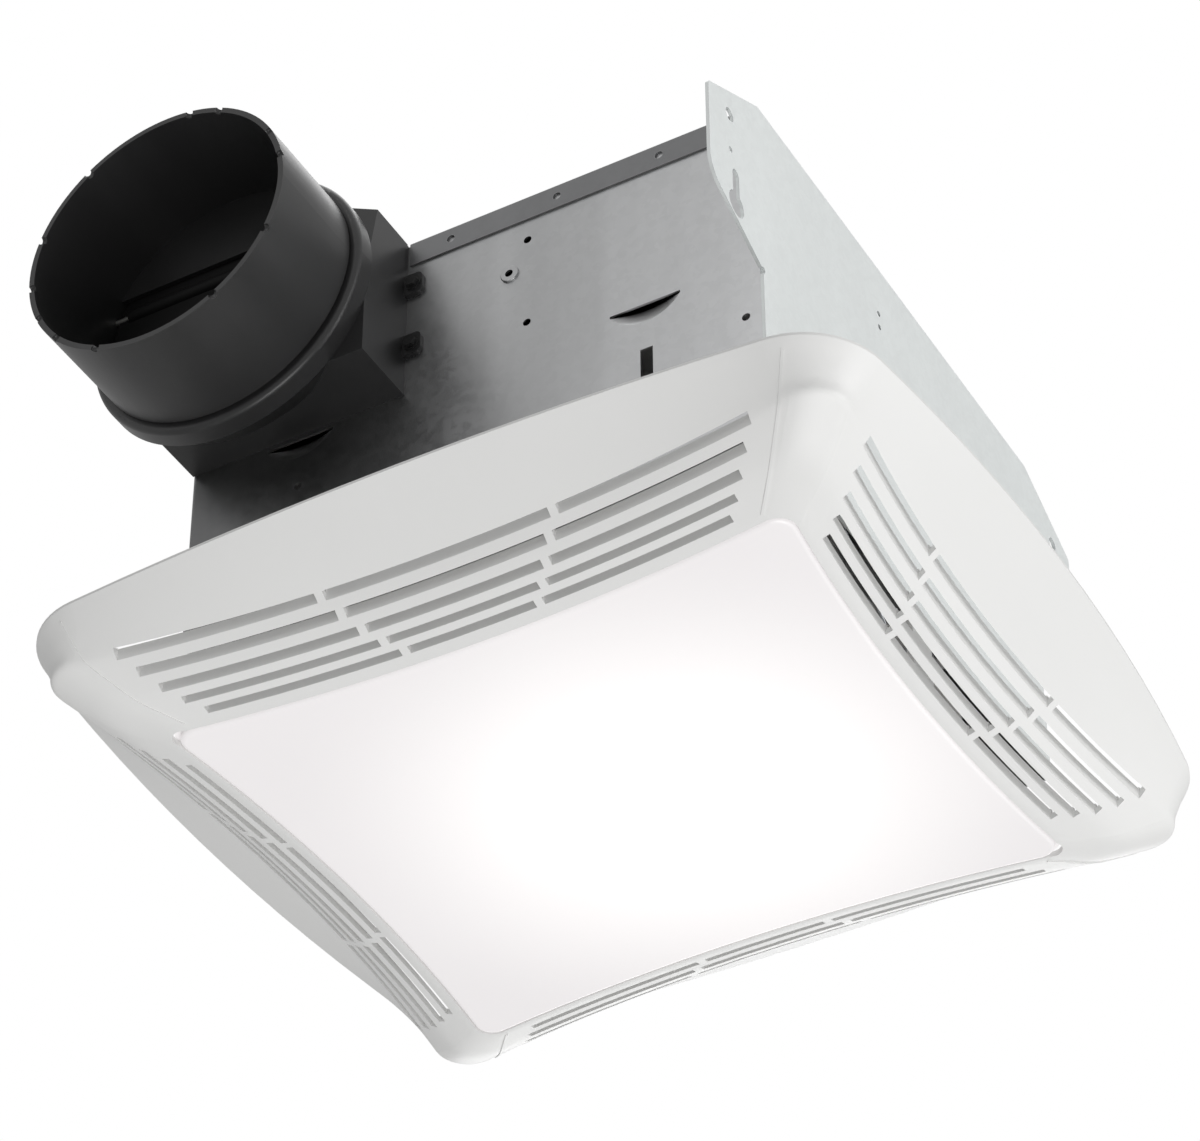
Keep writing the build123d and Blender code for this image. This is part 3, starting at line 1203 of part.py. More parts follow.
def spring_coil(side):
    """The coil of a torsion spring, as the sleeve that its turns fill."""
    x = spring_x(side)
    sleeve = bar_x(x - COIL_LENGTH / 2, x + COIL_LENGTH / 2, 0, SPRING_Z, COIL_RADIUS)
    return sleeve - bar_x(x - COIL_LENGTH, x + COIL_LENGTH, 0, SPRING_Z, PEG_RADIUS + 0.2)


def spring_arm(side, lean):
    """One arm of a torsion spring, leaning along Y, with a bent tip above the bracket."""
    x = spring_x(side) + lean * ARM_OFFSET
    start = COIL_RADIUS + 0.25
    arm = Pos(0, 0, (start + ARM_LENGTH) / 2) * Cylinder(WIRE_RADIUS, ARM_LENGTH - start)
    arm = Pos(x, 0, SPRING_Z) * Rot(-lean * ARM_ANGLE, 0, 0) * arm
    a = math.radians(ARM_ANGLE)
    tip_y = lean * ARM_LENGTH * math.sin(a)
    tip_z = SPRING_Z + ARM_LENGTH * math.cos(a)
    knee = Pos(x, tip_y, tip_z) * Sphere(WIRE_RADIUS)
    hook_angle = 95.0
    hook = Pos(0, 0, ARM_HOOK / 2) * Cylinder(WIRE_RADIUS, ARM_HOOK)
    hook = Pos(x, tip_y, tip_z) * Rot(-lean * hook_angle, 0, 0) * hook
    return arm + knee + hook


def lens():
    """Opal lens: a shallow tray that drops into the grille from above and rests on its ledge."""
    z0 = LENS_Z - LENS_PROUD
    ledge_z = skin_z(LENS_LEDGE) + LENS_REST
    face = Pos(0, 0, z0) * extrude(pillow_outline(-LENS_GAP, LENS_CORNER), LENS_SKIRT)
    face = fillet(face.edges().group_by(Axis.Z)[0], 1.6)
    hollow = extrude(pillow_outline(-LENS_GAP - LENS_WALL, LENS_CORNER), LENS_SKIRT)
    tray = face - Pos(0, 0, z0 + LENS_WALL) * hollow
    ledge = Pos(0, 0, ledge_z) * extrude(pillow_outline(LENS_LEDGE, LENS_CORNER + 2), LEDGE_THICK)
    ledge -= Pos(0, 0, ledge_z - 1) * extrude(pillow_outline(-LENS_GAP - LENS_WALL / 2, LENS_CORNER), 4)
    for side in (-1, 1):
        x = post_x(side)
        ledge -= Pos(x, 0, ledge_z) * Box(6, POST_WIDTH + 2, 8)
    return tray + ledge


def lens_clips():
    """Spring clips on the grille that press on the lens's ledge."""
    clips = []
    ledge_top = skin_z(LENS_LEDGE) + LENS_REST + LEDGE_THICK
    for sx in (-1, 1):
        for sy in (-1, 1):
            x = sx * CLIP_HALF_X
            bow = CLIP_HALF_X ** 2 / (2 * BOW_RADIUS)
            y_in = LENS_HALF_Y + bow + 0.2
            y_out = y_in + CLIP_REACH
            foot_z = skin_z(CLIP_REACH + 0.6) + 0.15
            tongue = block(x - 4, x + 4, y_in, y_out, ledge_top + 0.1, ledge_top + 1.0)
            leg = block(x - 4, x + 4, y_out - CLIP_LEG, y_out, foot_z, ledge_top + 1.0)
            clip = tongue + leg
            clips.append(clip if sy > 0 else Rot(0, 0, 180) * (Pos(-2 * x, 0, 0) * clip))
    return clips


def build():
    """Makes and writes every piece."""
    os.makedirs("parts", exist_ok=True)
    save("housing_wrap", housing_wrap())
    save("housing_top", housing_top())
    save("mounting_plate", mounting_plate())
    save("spring_bracket_left", spring_bracket(-1))
    save("spring_bracket_right", spring_bracket(1))
    save("duct_connector", duct_connector())
    save("connector_screws", *connector_screws())
    save("damper_pin", damper_pin())
    save("damper_flap", damper_flap())
    save("blower_scroll", blower_scroll())
    save("blower_plate", blower_plate())
    save("plate_screws", *plate_screws())
    save("blower_wheel", blower_wheel())
    save("wheel_clamp", wheel_clamp())
    save("motor_shaft", motor_shaft())
    save("motor_rotor", motor_rotor())
    save("motor_stator", motor_stator())
    save("shading_rings", *shading_rings())
    save("motor_bobbin", motor_bobbin())
    save("motor_coil", motor_coil())
    save("upper_motor_bridge", motor_bridge(True))
    save("lower_motor_bridge", motor_bridge(False))
    save("upper_bearing", motor_bearing(True))
    save("lower_bearing", motor_bearing(False))
    save("stator_screws", *stator_screws())
    save("motor_spacers", *motor_spacers())
    save("motor_bracket", motor_bracket())
    save("bracket_screws", *bracket_screws())
    save("reflector_pan", reflector_pan())
    save("reflector_studs", *reflector_studs())
    save("reflector_nuts", *reflector_nuts())
    save("socket_bracket", socket_bracket())
    save("socket_screws", *socket_screws())
    save("lamp_socket", lamp_socket())
    save("socket_shell", socket_shell())
    save("bulb_base", bulb_base())
    save("bulb_glass", bulb_glass())
    save("wiring_cover", wiring_cover())
    save("wiring_cover_screw", wiring_screws())
    save("ground_screw", ground_screw())
    save("fan_receptacle", receptacle(receptacle_places()[0]))
    save("lamp_receptacle", receptacle(receptacle_places()[1]))
    save("grille", grille())
    save("lens", lens())
    save("lens_clips", *lens_clips())
    save("spring_coil_left", spring_coil(-1))
    save("spring_coil_right", spring_coil(1))
    save("spring_arm_left_front", spring_arm(-1, -1))
    save("spring_arm_left_back", spring_arm(-1, 1))
    save("spring_arm_right_front", spring_arm(1, -1))
    save("spring_arm_right_back", spring_arm(1, 1))


build()
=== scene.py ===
# %% [markdown]
# # A ceiling exhaust fan with a light
# This lesson dresses a fan that hangs in a ceiling: a zinc-coated steel housing, a black duct
# connector, and a white grille round a glowing lens. The shapes of the hard parts come from a
# finished model, the frame. Blender adds the camera, the light, the finishes and the fine pieces.
# Everything is in metres. The origin is the middle of the ceiling opening and +Z points up.

# %% Load the frame
import json
import math
import bpy
from mathutils import Matrix, Vector


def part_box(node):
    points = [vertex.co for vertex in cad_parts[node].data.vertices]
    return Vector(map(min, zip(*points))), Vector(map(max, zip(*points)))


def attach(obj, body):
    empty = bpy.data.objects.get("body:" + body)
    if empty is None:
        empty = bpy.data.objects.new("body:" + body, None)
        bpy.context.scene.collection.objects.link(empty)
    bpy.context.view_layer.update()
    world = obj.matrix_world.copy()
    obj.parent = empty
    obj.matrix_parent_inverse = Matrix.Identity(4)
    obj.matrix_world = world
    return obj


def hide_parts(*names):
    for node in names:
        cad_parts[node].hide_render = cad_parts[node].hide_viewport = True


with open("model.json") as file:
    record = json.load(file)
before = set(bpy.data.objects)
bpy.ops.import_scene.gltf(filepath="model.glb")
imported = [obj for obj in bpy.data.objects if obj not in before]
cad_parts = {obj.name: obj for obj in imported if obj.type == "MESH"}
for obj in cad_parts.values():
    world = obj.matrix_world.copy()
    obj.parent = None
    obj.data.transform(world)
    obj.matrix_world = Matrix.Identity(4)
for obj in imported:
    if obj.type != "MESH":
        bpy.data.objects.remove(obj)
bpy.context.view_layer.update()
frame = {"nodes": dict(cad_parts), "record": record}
print("pieces in the frame:", len(frame["nodes"]))

# %% [markdown]
# ## The camera
# The fan was photographed from below and from the side of the duct, with a long lens. A camera
# is placed by its position and by three directions: right, up, and back towards the viewer.
# Writing the directions as the columns of a matrix is exact, where aiming by hand is a guess.

# %% Camera at the photograph's viewing angle
IMAGE_WIDTH = 1200
IMAGE_HEIGHT = 1141
FOCAL_PIXELS = 4374.3
LENS_AXIS_PIXEL = (592.66, 572.14)
CAMERA_PLACE = (0.5571, -1.0121, -0.9008)

camera_right = Vector((0.870625, 0.491940, -0.002588))
camera_back = Vector((0.376306, -0.669349, -0.640597))
camera_up = camera_back.cross(camera_right)
photo_camera = bpy.data.cameras.new("photo_camera")
photo_camera.sensor_width = 36.0
photo_camera.lens = FOCAL_PIXELS / IMAGE_WIDTH * photo_camera.sensor_width
photo_camera.shift_x = (IMAGE_WIDTH / 2 - LENS_AXIS_PIXEL[0]) / IMAGE_WIDTH
photo_camera.shift_y = (LENS_AXIS_PIXEL[1] - IMAGE_HEIGHT / 2) / IMAGE_WIDTH
camera = bpy.data.objects.new("photo_camera", photo_camera)
turned = Matrix((camera_right, camera_up, camera_back)).transposed().to_4x4()
camera.matrix_world = Matrix.Translation(CAMERA_PLACE) @ turned
bpy.context.scene.collection.objects.link(camera)
bpy.context.scene.camera = camera
print("lens", round(photo_camera.lens, 1), "mm")

# %% [markdown]
# ## The studio
# A fan that hangs in the air needs light from below, so the lamps are large soft panels on all
# sides. The floor lies far under the fan. The world behind everything is white to the eye, about
# half as strong in shiny surfaces, and weaker still as a light, so that white plastic keeps its
# shading. Two helpers make its plain backgrounds and choose between them by the kind of ray.

# %% World and colour handling
SEEN_STRENGTH = 1.0
FILL_STRENGTH = 0.37
SHEEN_STRENGTH = 0.55

scene = bpy.context.scene
scene.view_settings.view_transform = "Standard"
studio_air = bpy.data.worlds.new("studio_air")
scene.world = studio_air
studio_air.use_nodes = True
air = studio_air.node_tree
air.nodes.clear()


def white_air(strength):
    """A plain white background of one strength."""
    background = air.nodes.new("ShaderNodeBackground")
    background.inputs["Color"].default_value = (1, 1, 1, 1)
    background.inputs["Strength"].default_value = strength
    return background.outputs[0]


def choose(mask, otherwise, chosen):
    """Gives one background where the mask is 1 and the other where it is 0."""
    mix = air.nodes.new("ShaderNodeMixShader")
    for socket, source in zip(mix.inputs, (mask, otherwise, chosen)):
        air.links.new(source, socket)
    return mix.outputs[0]


ray = air.nodes.new("ShaderNodeLightPath")
for_eye = air.nodes.new("ShaderNodeMath")
for_eye.operation = "MAXIMUM"
air.links.new(ray.outputs["Is Camera Ray"], for_eye.inputs[0])
air.links.new(ray.outputs["Is Transmission Ray"], for_eye.inputs[1])
unseen = choose(ray.outputs["Is Glossy Ray"], white_air(FILL_STRENGTH), white_air(SHEEN_STRENGTH))
air_out = air.nodes.new("ShaderNodeOutputWorld")
air.links.new(choose(for_eye.outputs[0], unseen, white_air(SEEN_STRENGTH)),
              air_out.inputs["Surface"])
print("world ready")

# %% Floor
FLOOR_HALF = 9.0
FLOOR_DROP = 2.6
corners = [(x * FLOOR_HALF, y * FLOOR_HALF, 0) for x, y in ((-1, -1), (1, -1), (1, 1), (-1, 1))]
floor_mesh = bpy.data.meshes.new("studio_floor")
floor_mesh.from_pydata(corners, [], [(0, 1, 2, 3)])
floor = bpy.data.objects.new("studio_floor", floor_mesh)
floor.location = (0, 0, -FLOOR_DROP)
scene.collection.objects.link(floor)
floor_paint = bpy.data.materials.new("floor_paint")
floor_paint.use_nodes = True
floor_shader = floor_paint.node_tree.nodes["Principled BSDF"]
floor_shader.inputs["Base Color"].default_value = (0.80, 0.80, 0.80, 1)
floor_shader.inputs["Roughness"].default_value = 0.8
floor_mesh.materials.append(floor_paint)
print("floor at", floor.location.z)

# %% Lamps
LIT_POINT = Vector((0, 0, 0.04))


def soft_panel(name, place, width, height, watts):
    """A rectangular lamp at place that shines at the fan."""
    panel = bpy.data.lights.new(name, "AREA")
    panel.shape = "RECTANGLE"
    panel.size = width
    panel.size_y = height
    panel.energy = watts
    lamp = bpy.data.objects.new(name, panel)
    lamp.location = place
    aim = LIT_POINT - Vector(place)
    lamp.rotation_euler = aim.to_track_quat("-Z", "Y").to_euler()
    scene.collection.objects.link(lamp)
    print(name, watts, "W")


soft_panel("front_panel", (-0.5, -2.5, 0.9), 1.6, 1.6, 5.2)
soft_panel("low_panel", (0.9, -0.5, -2.1), 1.8, 1.8, 32)
soft_panel("side_panel", (2.4, 0.3, 0.2), 1.4, 1.6, 22)
soft_panel("top_panel", (-0.4, 0.6, 2.4), 1.8, 1.8, 18)
soft_panel("back_panel", (-0.9, 2.3, 0.1), 1.4, 1.4, 13)

# %% [markdown]
# ## Effects that several finishes share
# Each effect is a node group that gives out a value only. A finish then places the group and
# decides what the value changes. The first helper makes an empty group with named sockets.

# %% Helper for node groups
def effect(name, inputs, outputs):
    """An empty shader group; returns the group with its input and output nodes."""
    group = bpy.data.node_groups.new(name, "ShaderNodeTree")
    for label, start in inputs:
        socket = group.interface.new_socket(label, in_out="INPUT", socket_type="NodeSocketFloat")
        socket.default_value = start
    for label in outputs:
        group.interface.new_socket(label, in_out="OUTPUT", socket_type="NodeSocketFloat")
    return group, group.nodes.new("NodeGroupInput"), group.nodes.new("NodeGroupOutput")


def add(tree, kind, **settings):
    """Adds a node of a kind and sets its plain properties."""
    node = tree.nodes.new("ShaderNode" + kind)
    for key, value in settings.items():
        setattr(node, key, value)
    return node


def maths(tree, operation, first, second):
    """A Math node on two values, each a number or another node's output."""
    node = add(tree, "Math", operation=operation)
    for socket, value in zip(node.inputs, (first, second)):
        if isinstance(value, (int, float)):
            socket.default_value = value
        else:
            tree.links.new(value, socket)
    return node.outputs[0]


def spread(tree, value, low, high):
    """Maps a value from 0..1 to low..high."""
    node = add(tree, "MapRange")
    node.inputs["To Min"].default_value = low
    node.inputs["To Max"].default_value = high
    tree.links.new(value, node.inputs["Value"])
    return node.outputs["Result"]


print("helpers ready")

# %% [markdown]
# ### Zinc crystals
# Hot-dip zinc freezes in flat crystals a few millimetres wide, each with its own sheen. A Voronoi
# texture makes cells like them. Its input is bent by a noise first, so that the borders are ragged.

# %% Zinc crystal group
crystals, given, made = effect("zinc_crystals", [("Per Metre", 90.0), ("Ragged", 0.006)], ["Sheen"])
place = add(crystals, "TexCoord")
rag = add(crystals, "TexNoise")
rag.inputs["Scale"].default_value = 260.0
rag.inputs["Detail"].default_value = 2.0
centred = add(crystals, "VectorMath", operation="SUBTRACT")
centred.inputs[1].default_value = (0.5, 0.5, 0.5)
bent = add(crystals, "VectorMath", operation="SCALE")
summed = add(crystals, "VectorMath", operation="ADD")
cells = add(crystals, "TexVoronoi")
crystals.links.new(place.outputs["Object"], rag.inputs["Vector"])
crystals.links.new(rag.outputs["Color"], centred.inputs[0])
crystals.links.new(centred.outputs[0], bent.inputs[0])
crystals.links.new(given.outputs["Ragged"], bent.inputs["Scale"])
crystals.links.new(place.outputs["Object"], summed.inputs[0])
crystals.links.new(bent.outputs[0], summed.inputs[1])
crystals.links.new(summed.outputs[0], cells.inputs["Vector"])
crystals.links.new(given.outputs["Per Metre"], cells.inputs["Scale"])
split = add(crystals, "SeparateColor")
crystals.links.new(cells.outputs["Color"], split.inputs[0])
crystals.links.new(split.outputs[0], made.inputs["Sheen"])
print("zinc crystals")

# %% [markdown]
# ### Streaks and smudges
# Sheet steel is rolled, which leaves faint lines in one direction. Hands and dust leave soft
# patches. Both are noises. The first takes a density for each axis, so that a low one along Z
# draws the noise out into upright lines. The second is large and slow.

# %% Streak group and smudge group
streaks, given, made = effect("rolled_streaks", [("X", 260.0), ("Y", 260.0), ("Z", 6.0)], ["Line"])
place = add(streaks, "TexCoord")
stretch = add(streaks, "CombineXYZ")
for axis in "XYZ":
    streaks.links.new(given.outputs[axis], stretch.inputs[axis])
scaled = add(streaks, "VectorMath", operation="MULTIPLY")
streaks.links.new(place.outputs["Object"], scaled.inputs[0])
streaks.links.new(stretch.outputs[0], scaled.inputs[1])
line = add(streaks, "TexNoise")
line.inputs["Scale"].default_value = 1.0
line.inputs["Detail"].default_value = 3.0
streaks.links.new(scaled.outputs[0], line.inputs["Vector"])
streaks.links.new(line.outputs["Fac"], made.inputs["Line"])

smudges, given, made = effect("smudges", [("Per Metre", 14.0)], ["Patch"])
place = add(smudges, "TexCoord")
patch = add(smudges, "TexNoise")
patch.inputs["Detail"].default_value = 4.0
patch.inputs["Roughness"].default_value = 0.6
smudges.links.new(place.outputs["Object"], patch.inputs["Vector"])
smudges.links.new(given.outputs["Per Metre"], patch.inputs["Scale"])
smudges.links.new(patch.outputs["Fac"], made.inputs["Patch"])
print("streaks and smudges")

# %% [markdown]
# ### Moulded grain
# Moulded plastic copies the fine texture of its steel mould. A small noise gives that grain, and
# a slower one gives the slight waviness of a large thin moulding.

# %% Moulded grain group
grain, given, made = effect("moulded_grain", [("Fine", 2400.0), ("Wave", 22.0)], ["Height", "Flow"])
place = add(grain, "TexCoord")
fine = add(grain, "TexNoise")
fine.inputs["Detail"].default_value = 2.0
wave = add(grain, "TexNoise")
wave.inputs["Detail"].default_value = 1.0
for texture, label in ((fine, "Fine"), (wave, "Wave")):
    grain.links.new(place.outputs["Object"], texture.inputs["Vector"])
    grain.links.new(given.outputs[label], texture.inputs["Scale"])
grain.links.new(fine.outputs["Fac"], made.inputs["Height"])
grain.links.new(wave.outputs["Fac"], made.inputs["Flow"])
print("moulded grain")

# %% [markdown]
# ### Edge rub
# Edges are rubbed brighter, or hold a little dirt, on every handled part. The Bevel node tells
# where an edge is near: there its rounded normal differs from the true one. A noise breaks it up.

# %% Edge rub group
rub, given, made = effect("edge_rub", [("Reach", 0.0008), ("Patchiness", 60.0)], ["Mask"])
rounded = add(rub, "Bevel")
rounded.samples = 4
rub.links.new(given.outputs["Reach"], rounded.inputs["Radius"])
true_normal = add(rub, "NewGeometry")
alike = add(rub, "VectorMath", operation="DOT_PRODUCT")
rub.links.new(rounded.outputs[0], alike.inputs[0])
rub.links.new(true_normal.outputs["Normal"], alike.inputs[1])
nearness = maths(rub, "SUBTRACT", 1.0, alike.outputs["Value"])
place = add(rub, "TexCoord")
breaks = add(rub, "TexNoise")
rub.links.new(place.outputs["Object"], breaks.inputs["Vector"])
rub.links.new(given.outputs["Patchiness"], breaks.inputs["Scale"])
strong = maths(rub, "MULTIPLY", nearness, 5.0)
patchy = maths(rub, "MULTIPLY", strong, breaks.outputs["Fac"])
kept = add(rub, "Clamp")
rub.links.new(patchy, kept.inputs[0])
rub.links.new(kept.outputs[0], made.inputs["Mask"])
print("edge rub")

# %% [markdown]
# ## Finishes
# A finish is one material. The first helper below starts it with a Principled shader and lists it
# under its name. The others place a group with its own values, and blend values and colours by a
# mask. A Mix node has sockets for every kind of data, so its colour sockets go by number.

# %% Helpers for finishes
FINISHES = {}
MIX_FACTOR, MIX_A, MIX_B, MIX_COLOUR = 0, 6, 7, 2


def start_finish(name, roughness, metallic):
    """A new material under its name; returns its tree and its Principled shader."""
    FINISHES[name] = bpy.data.materials.new(name)
    FINISHES[name].use_nodes = True
    tree = FINISHES[name].node_tree
    shader = tree.nodes["Principled BSDF"]
    shader.inputs["Roughness"].default_value = roughness
    shader.inputs["Metallic"].default_value = metallic
    return tree, shader


def use(tree, group, **values):
    """Places a shared effect with this finish's own values."""
    node = tree.nodes.new("ShaderNodeGroup")
    node.node_tree = group
    for label, value in values.items():
        node.inputs[label.replace("_", " ")].default_value = value
    return node


def tint(tree, mask, dark, light):
    """A colour that runs from dark to light with a mask."""
    blend = add(tree, "Mix", data_type="RGBA")
    blend.inputs[MIX_A].default_value = (*dark, 1)
    blend.inputs[MIX_B].default_value = (*light, 1)
    tree.links.new(mask, blend.inputs[MIX_FACTOR])
    return blend.outputs[MIX_COLOUR]


def times(tree, first, second):
    """One colour multiplied by another."""
    product = add(tree, "Mix", data_type="RGBA", blend_type="MULTIPLY")
    product.inputs[MIX_FACTOR].default_value = 1.0
    tree.links.new(first, product.inputs[MIX_A])
    tree.links.new(second, product.inputs[MIX_B])
    return product.outputs[MIX_COLOUR]


def weigh(tree, first, first_share, second, second_share):
    """The sum of two values, each taken by its share."""
    return maths(tree, "ADD", maths(tree, "MULTIPLY", first, first_share),
                 maths(tree, "MULTIPLY", second, second_share))


def rub_edges(tree, base, edge, share, colour):
    """The base colour with another one laid over the rubbed edges."""
    rubbed = add(tree, "Mix", data_type="RGBA")
    rubbed.inputs[MIX_B].default_value = (*colour, 1)
    tree.links.new(maths(tree, "MULTIPLY", edge.outputs[0], share), rubbed.inputs[MIX_FACTOR])
    tree.links.new(base, rubbed.inputs[MIX_A])
    return rubbed.outputs[MIX_COLOUR]


def shades(colour, darker, lighter):
    """A darker and a lighter shade of a colour, no brighter than white."""
    return [darker * c for c in colour], [min(1.0, lighter * c) for c in colour]


def relief(tree, shader, height, depth, strength):
    """Joins a height to the shader's normal through a Bump node."""
    bump = add(tree, "Bump")
    bump.inputs["Distance"].default_value = depth
    bump.inputs["Strength"].default_value = strength
    tree.links.new(height, bump.inputs["Height"])
    tree.links.new(bump.outputs[0], shader.inputs["Normal"])


print("finish helpers")

# %% [markdown]
# ### Zinc-coated sheet
# The housing, scroll and brackets are bare galvanised steel, of the kind whose crystals are too
# small to stand out. It looks like satin: slow upright bands in the tone, a very faint grain in the
# sheen, fine rolling lines in the relief, and cut edges that shine a little more. On the walls the
# tone also runs darker towards -X, which is painted shade beside the duct connector. The plate's
# much lighter tone is painted light, and the lid's darker one is painted shade.

# %% Zinc-coated sheet
CUT_EDGE = (0.66, 0.67, 0.68)


def zinc_sheet(name, tone, roughness, per_metre, sparkle=0.05, bands=0.07, painted_shade_sweep=0.0):
    """Galvanised steel: tone, sheen, crystals per metre, strength of slow changes, painted shade
    along X.
    """
    tree, shader = start_finish(name, roughness, 1.0)
    crystal = use(tree, crystals, Per_Metre=per_metre)
    streak = use(tree, streaks)
    band = use(tree, streaks, X=34.0, Y=34.0, Z=3.0)
    smudge = use(tree, smudges, Per_Metre=11.0)
    edge = use(tree, rub, Reach=0.0005)
    along = add(tree, "SeparateXYZ")
    tree.links.new(add(tree, "TexCoord").outputs["Object"], along.inputs[0])
    # Painted shade: the sweep value makes the tone darker towards -X, for the shade beside the duct
    # connector.
    across = maths(tree, "MULTIPLY", along.outputs["X"], painted_shade_sweep)
    slow = tint(tree, maths(tree, "ADD", spread(tree, band.outputs[0], -0.3, 1.3), across),
                [(1 - bands) * c for c in tone], [(1 + bands) * c for c in tone])
    slow.node.clamp_factor = False
    speck = tint(tree, crystal.outputs[0], [1 - sparkle] * 3, [1.0, 1.0, 1.0])
    tree.links.new(rub_edges(tree, times(tree, slow, speck), edge, 0.5, CUT_EDGE),
                   shader.inputs["Base Color"])
    sheen_mask = weigh(tree, crystal.outputs[0], 0.3, smudge.outputs[0], 0.7)
    tree.links.new(spread(tree, sheen_mask, roughness - 0.07, roughness + 0.11),
                   shader.inputs["Roughness"])
    relief(tree, shader, streak.outputs[0], 0.00004, 0.25)


# Painted shade: the housing sheet gets a sweep, so its walls darken towards the duct connector at
# -X.
zinc_sheet("galvanised_sheet", (0.47, 0.474, 0.478), 0.34, 420.0, bands=0.15, painted_shade_sweep=15.0)
# Painted light: the plate is the same zinc sheet as the walls; its much lighter tone stands for the
# bright background it reflects.
zinc_sheet("plate_sheet", (0.83, 0.855, 0.85), 0.62, 500.0, sparkle=0.03, bands=0.025)
zinc_sheet("zinc_steel", (0.56, 0.56, 0.53), 0.30, 900.0)
zinc_sheet("spring_steel", (0.42, 0.43, 0.45), 0.28, 1500.0)
zinc_sheet("shaft_steel", (0.60, 0.60, 0.60), 0.20, 1500.0)
# Painted shade: the lid's zinc is about half as light as the walls', so that its flange looks
# darker.
zinc_sheet("lid_painted_shade", (0.25, 0.252, 0.256), 0.40, 420.0)
print("zinc finishes")

# %% [markdown]
# ### Moulded plastics
# Black, white and natural mouldings are one recipe: a base colour that drifts a little with the
# flow of the melt, a fine grain in the gloss and the relief, and edges that are rubbed or dulled.

# %% Moulded plastics
def moulded(name, colour, roughness, edge_colour, gloss=0.5, flow=0.05, rubbed=0.5, uneven=0.11):
    """A moulded plastic of one colour; flow and uneven are how far its tone and sheen drift."""
    tree, shader = start_finish(name, roughness, 0.0)
    shader.inputs["Specular IOR Level"].default_value = gloss
    skin = use(tree, grain)
    drawn = use(tree, streaks, X=55.0, Y=7.0, Z=55.0)
    edge = use(tree, rub, Reach=0.0006, Patchiness=90.0)
    smudge = use(tree, smudges, Per_Metre=9.0)
    drift = weigh(tree, skin.outputs["Flow"], 0.5, drawn.outputs[0], 0.5)
    base = tint(tree, drift, *shades(colour, 1 - flow, 1 + flow))
    tree.links.new(rub_edges(tree, base, edge, rubbed, edge_colour), shader.inputs["Base Color"])
    sheen_mask = weigh(tree, smudge.outputs[0], 0.5, drawn.outputs[0], 0.5)
    tree.links.new(spread(tree, sheen_mask, roughness - uneven, roughness + uneven),
                   shader.inputs["Roughness"])
    relief(tree, shader, skin.outputs["Height"], 0.00005, 0.22)


moulded("black_plastic", (0.021, 0.021, 0.0215), 0.38, (0.05, 0.05, 0.05),
        gloss=0.65, flow=0.35, rubbed=0.35, uneven=0.24)
moulded("wheel_plastic", (0.05, 0.05, 0.055), 0.42, (0.14, 0.14, 0.14))
moulded("white_plastic", (0.80, 0.80, 0.79), 0.42, (0.86, 0.86, 0.85),
        gloss=0.4, flow=0.015, rubbed=0.3)
moulded("bobbin_plastic", (0.72, 0.69, 0.60), 0.45, (0.8, 0.78, 0.7))
moulded("socket_body", (0.78, 0.76, 0.70), 0.40, (0.85, 0.84, 0.8))
moulded("receptacle_plastic", (0.70, 0.70, 0.66), 0.42, (0.8, 0.8, 0.77))
# Painted shade: the flap's black is darker and duller than the collar's, so that it stays dark in
# the duct.
moulded("flap_painted_shade", (0.007, 0.007, 0.007), 0.58, (0.012, 0.012, 0.012), gloss=0.2)
print("moulded finishes")

# %% [markdown]
# ### Paints
# The reflector is white enamel on steel, and the small screws are blackened or painted. Enamel
# flows out with a faint orange-peel surface, which a soft noise in the relief gives.

# %% Paints
def painted(name, colour, roughness, chip_colour):
    """Paint over steel, with chips of another colour on its edges."""
    tree, shader = start_finish(name, roughness, 0.0)
    skin = use(tree, grain, Fine=420.0, Wave=30.0)
    edge = use(tree, rub, Reach=0.0005, Patchiness=300.0)
    base = tint(tree, skin.outputs["Flow"], *shades(colour, 0.94, 1.05))
    tree.links.new(rub_edges(tree, base, edge, 0.5, chip_colour), shader.inputs["Base Color"])
    tree.links.new(spread(tree, skin.outputs["Flow"], roughness - 0.05, roughness + 0.08),
                   shader.inputs["Roughness"])
    relief(tree, shader, skin.outputs["Height"], 0.00008, 0.2)


painted("white_enamel", (0.88, 0.88, 0.87), 0.25, (0.7, 0.7, 0.7))
painted("dark_screw", (0.010, 0.010, 0.010), 0.45, (0.05, 0.05, 0.05))
painted("green_screw", (0.03, 0.22, 0.07), 0.35, (0.5, 0.5, 0.5))
print("paints")

# %% [markdown]
# ### Cast and drawn metals of the motor
# Cast bridges are dull and slightly pitted, bronze and copper are warm, and the stator is a
# stack of blued sheets. The sheets show as fine level lines, which a wave texture along Z gives.
# The same texture along Y lines the copper of the winding.

# %% Motor metals
def cast_metal(name, colour, roughness, pits):
    """Cast or turned metal with fine pits."""
    tree, shader = start_finish(name, roughness, 1.0)
    skin = use(tree, grain, Fine=pits, Wave=60.0)
    tree.links.new(tint(tree, skin.outputs["Flow"], *shades(colour, 0.85, 1.1)),
                   shader.inputs["Base Color"])
    tree.links.new(spread(tree, skin.outputs["Height"], roughness - 0.08, roughness + 0.12),
                   shader.inputs["Roughness"])
    relief(tree, shader, skin.outputs["Height"], 0.0001, 0.4)


def lined_metal(name, colour, roughness, axis, per_metre):
    """Metal with fine parallel lines across one axis: sheets in a stack, or turns of wire."""
    tree, shader = start_finish(name, roughness, 1.0)
    where = add(tree, "TexCoord")
    lines = add(tree, "TexWave", wave_type="BANDS", bands_direction=axis)
    lines.inputs["Scale"].default_value = per_metre / 20.0 * math.pi
    lines.inputs["Distortion"].default_value = 0.3
    tree.links.new(where.outputs["Object"], lines.inputs["Vector"])
    tree.links.new(tint(tree, lines.outputs["Fac"], *shades(colour, 0.45, 1.1)),
                   shader.inputs["Base Color"])
    relief(tree, shader, lines.outputs["Fac"], 0.0002, 0.6)


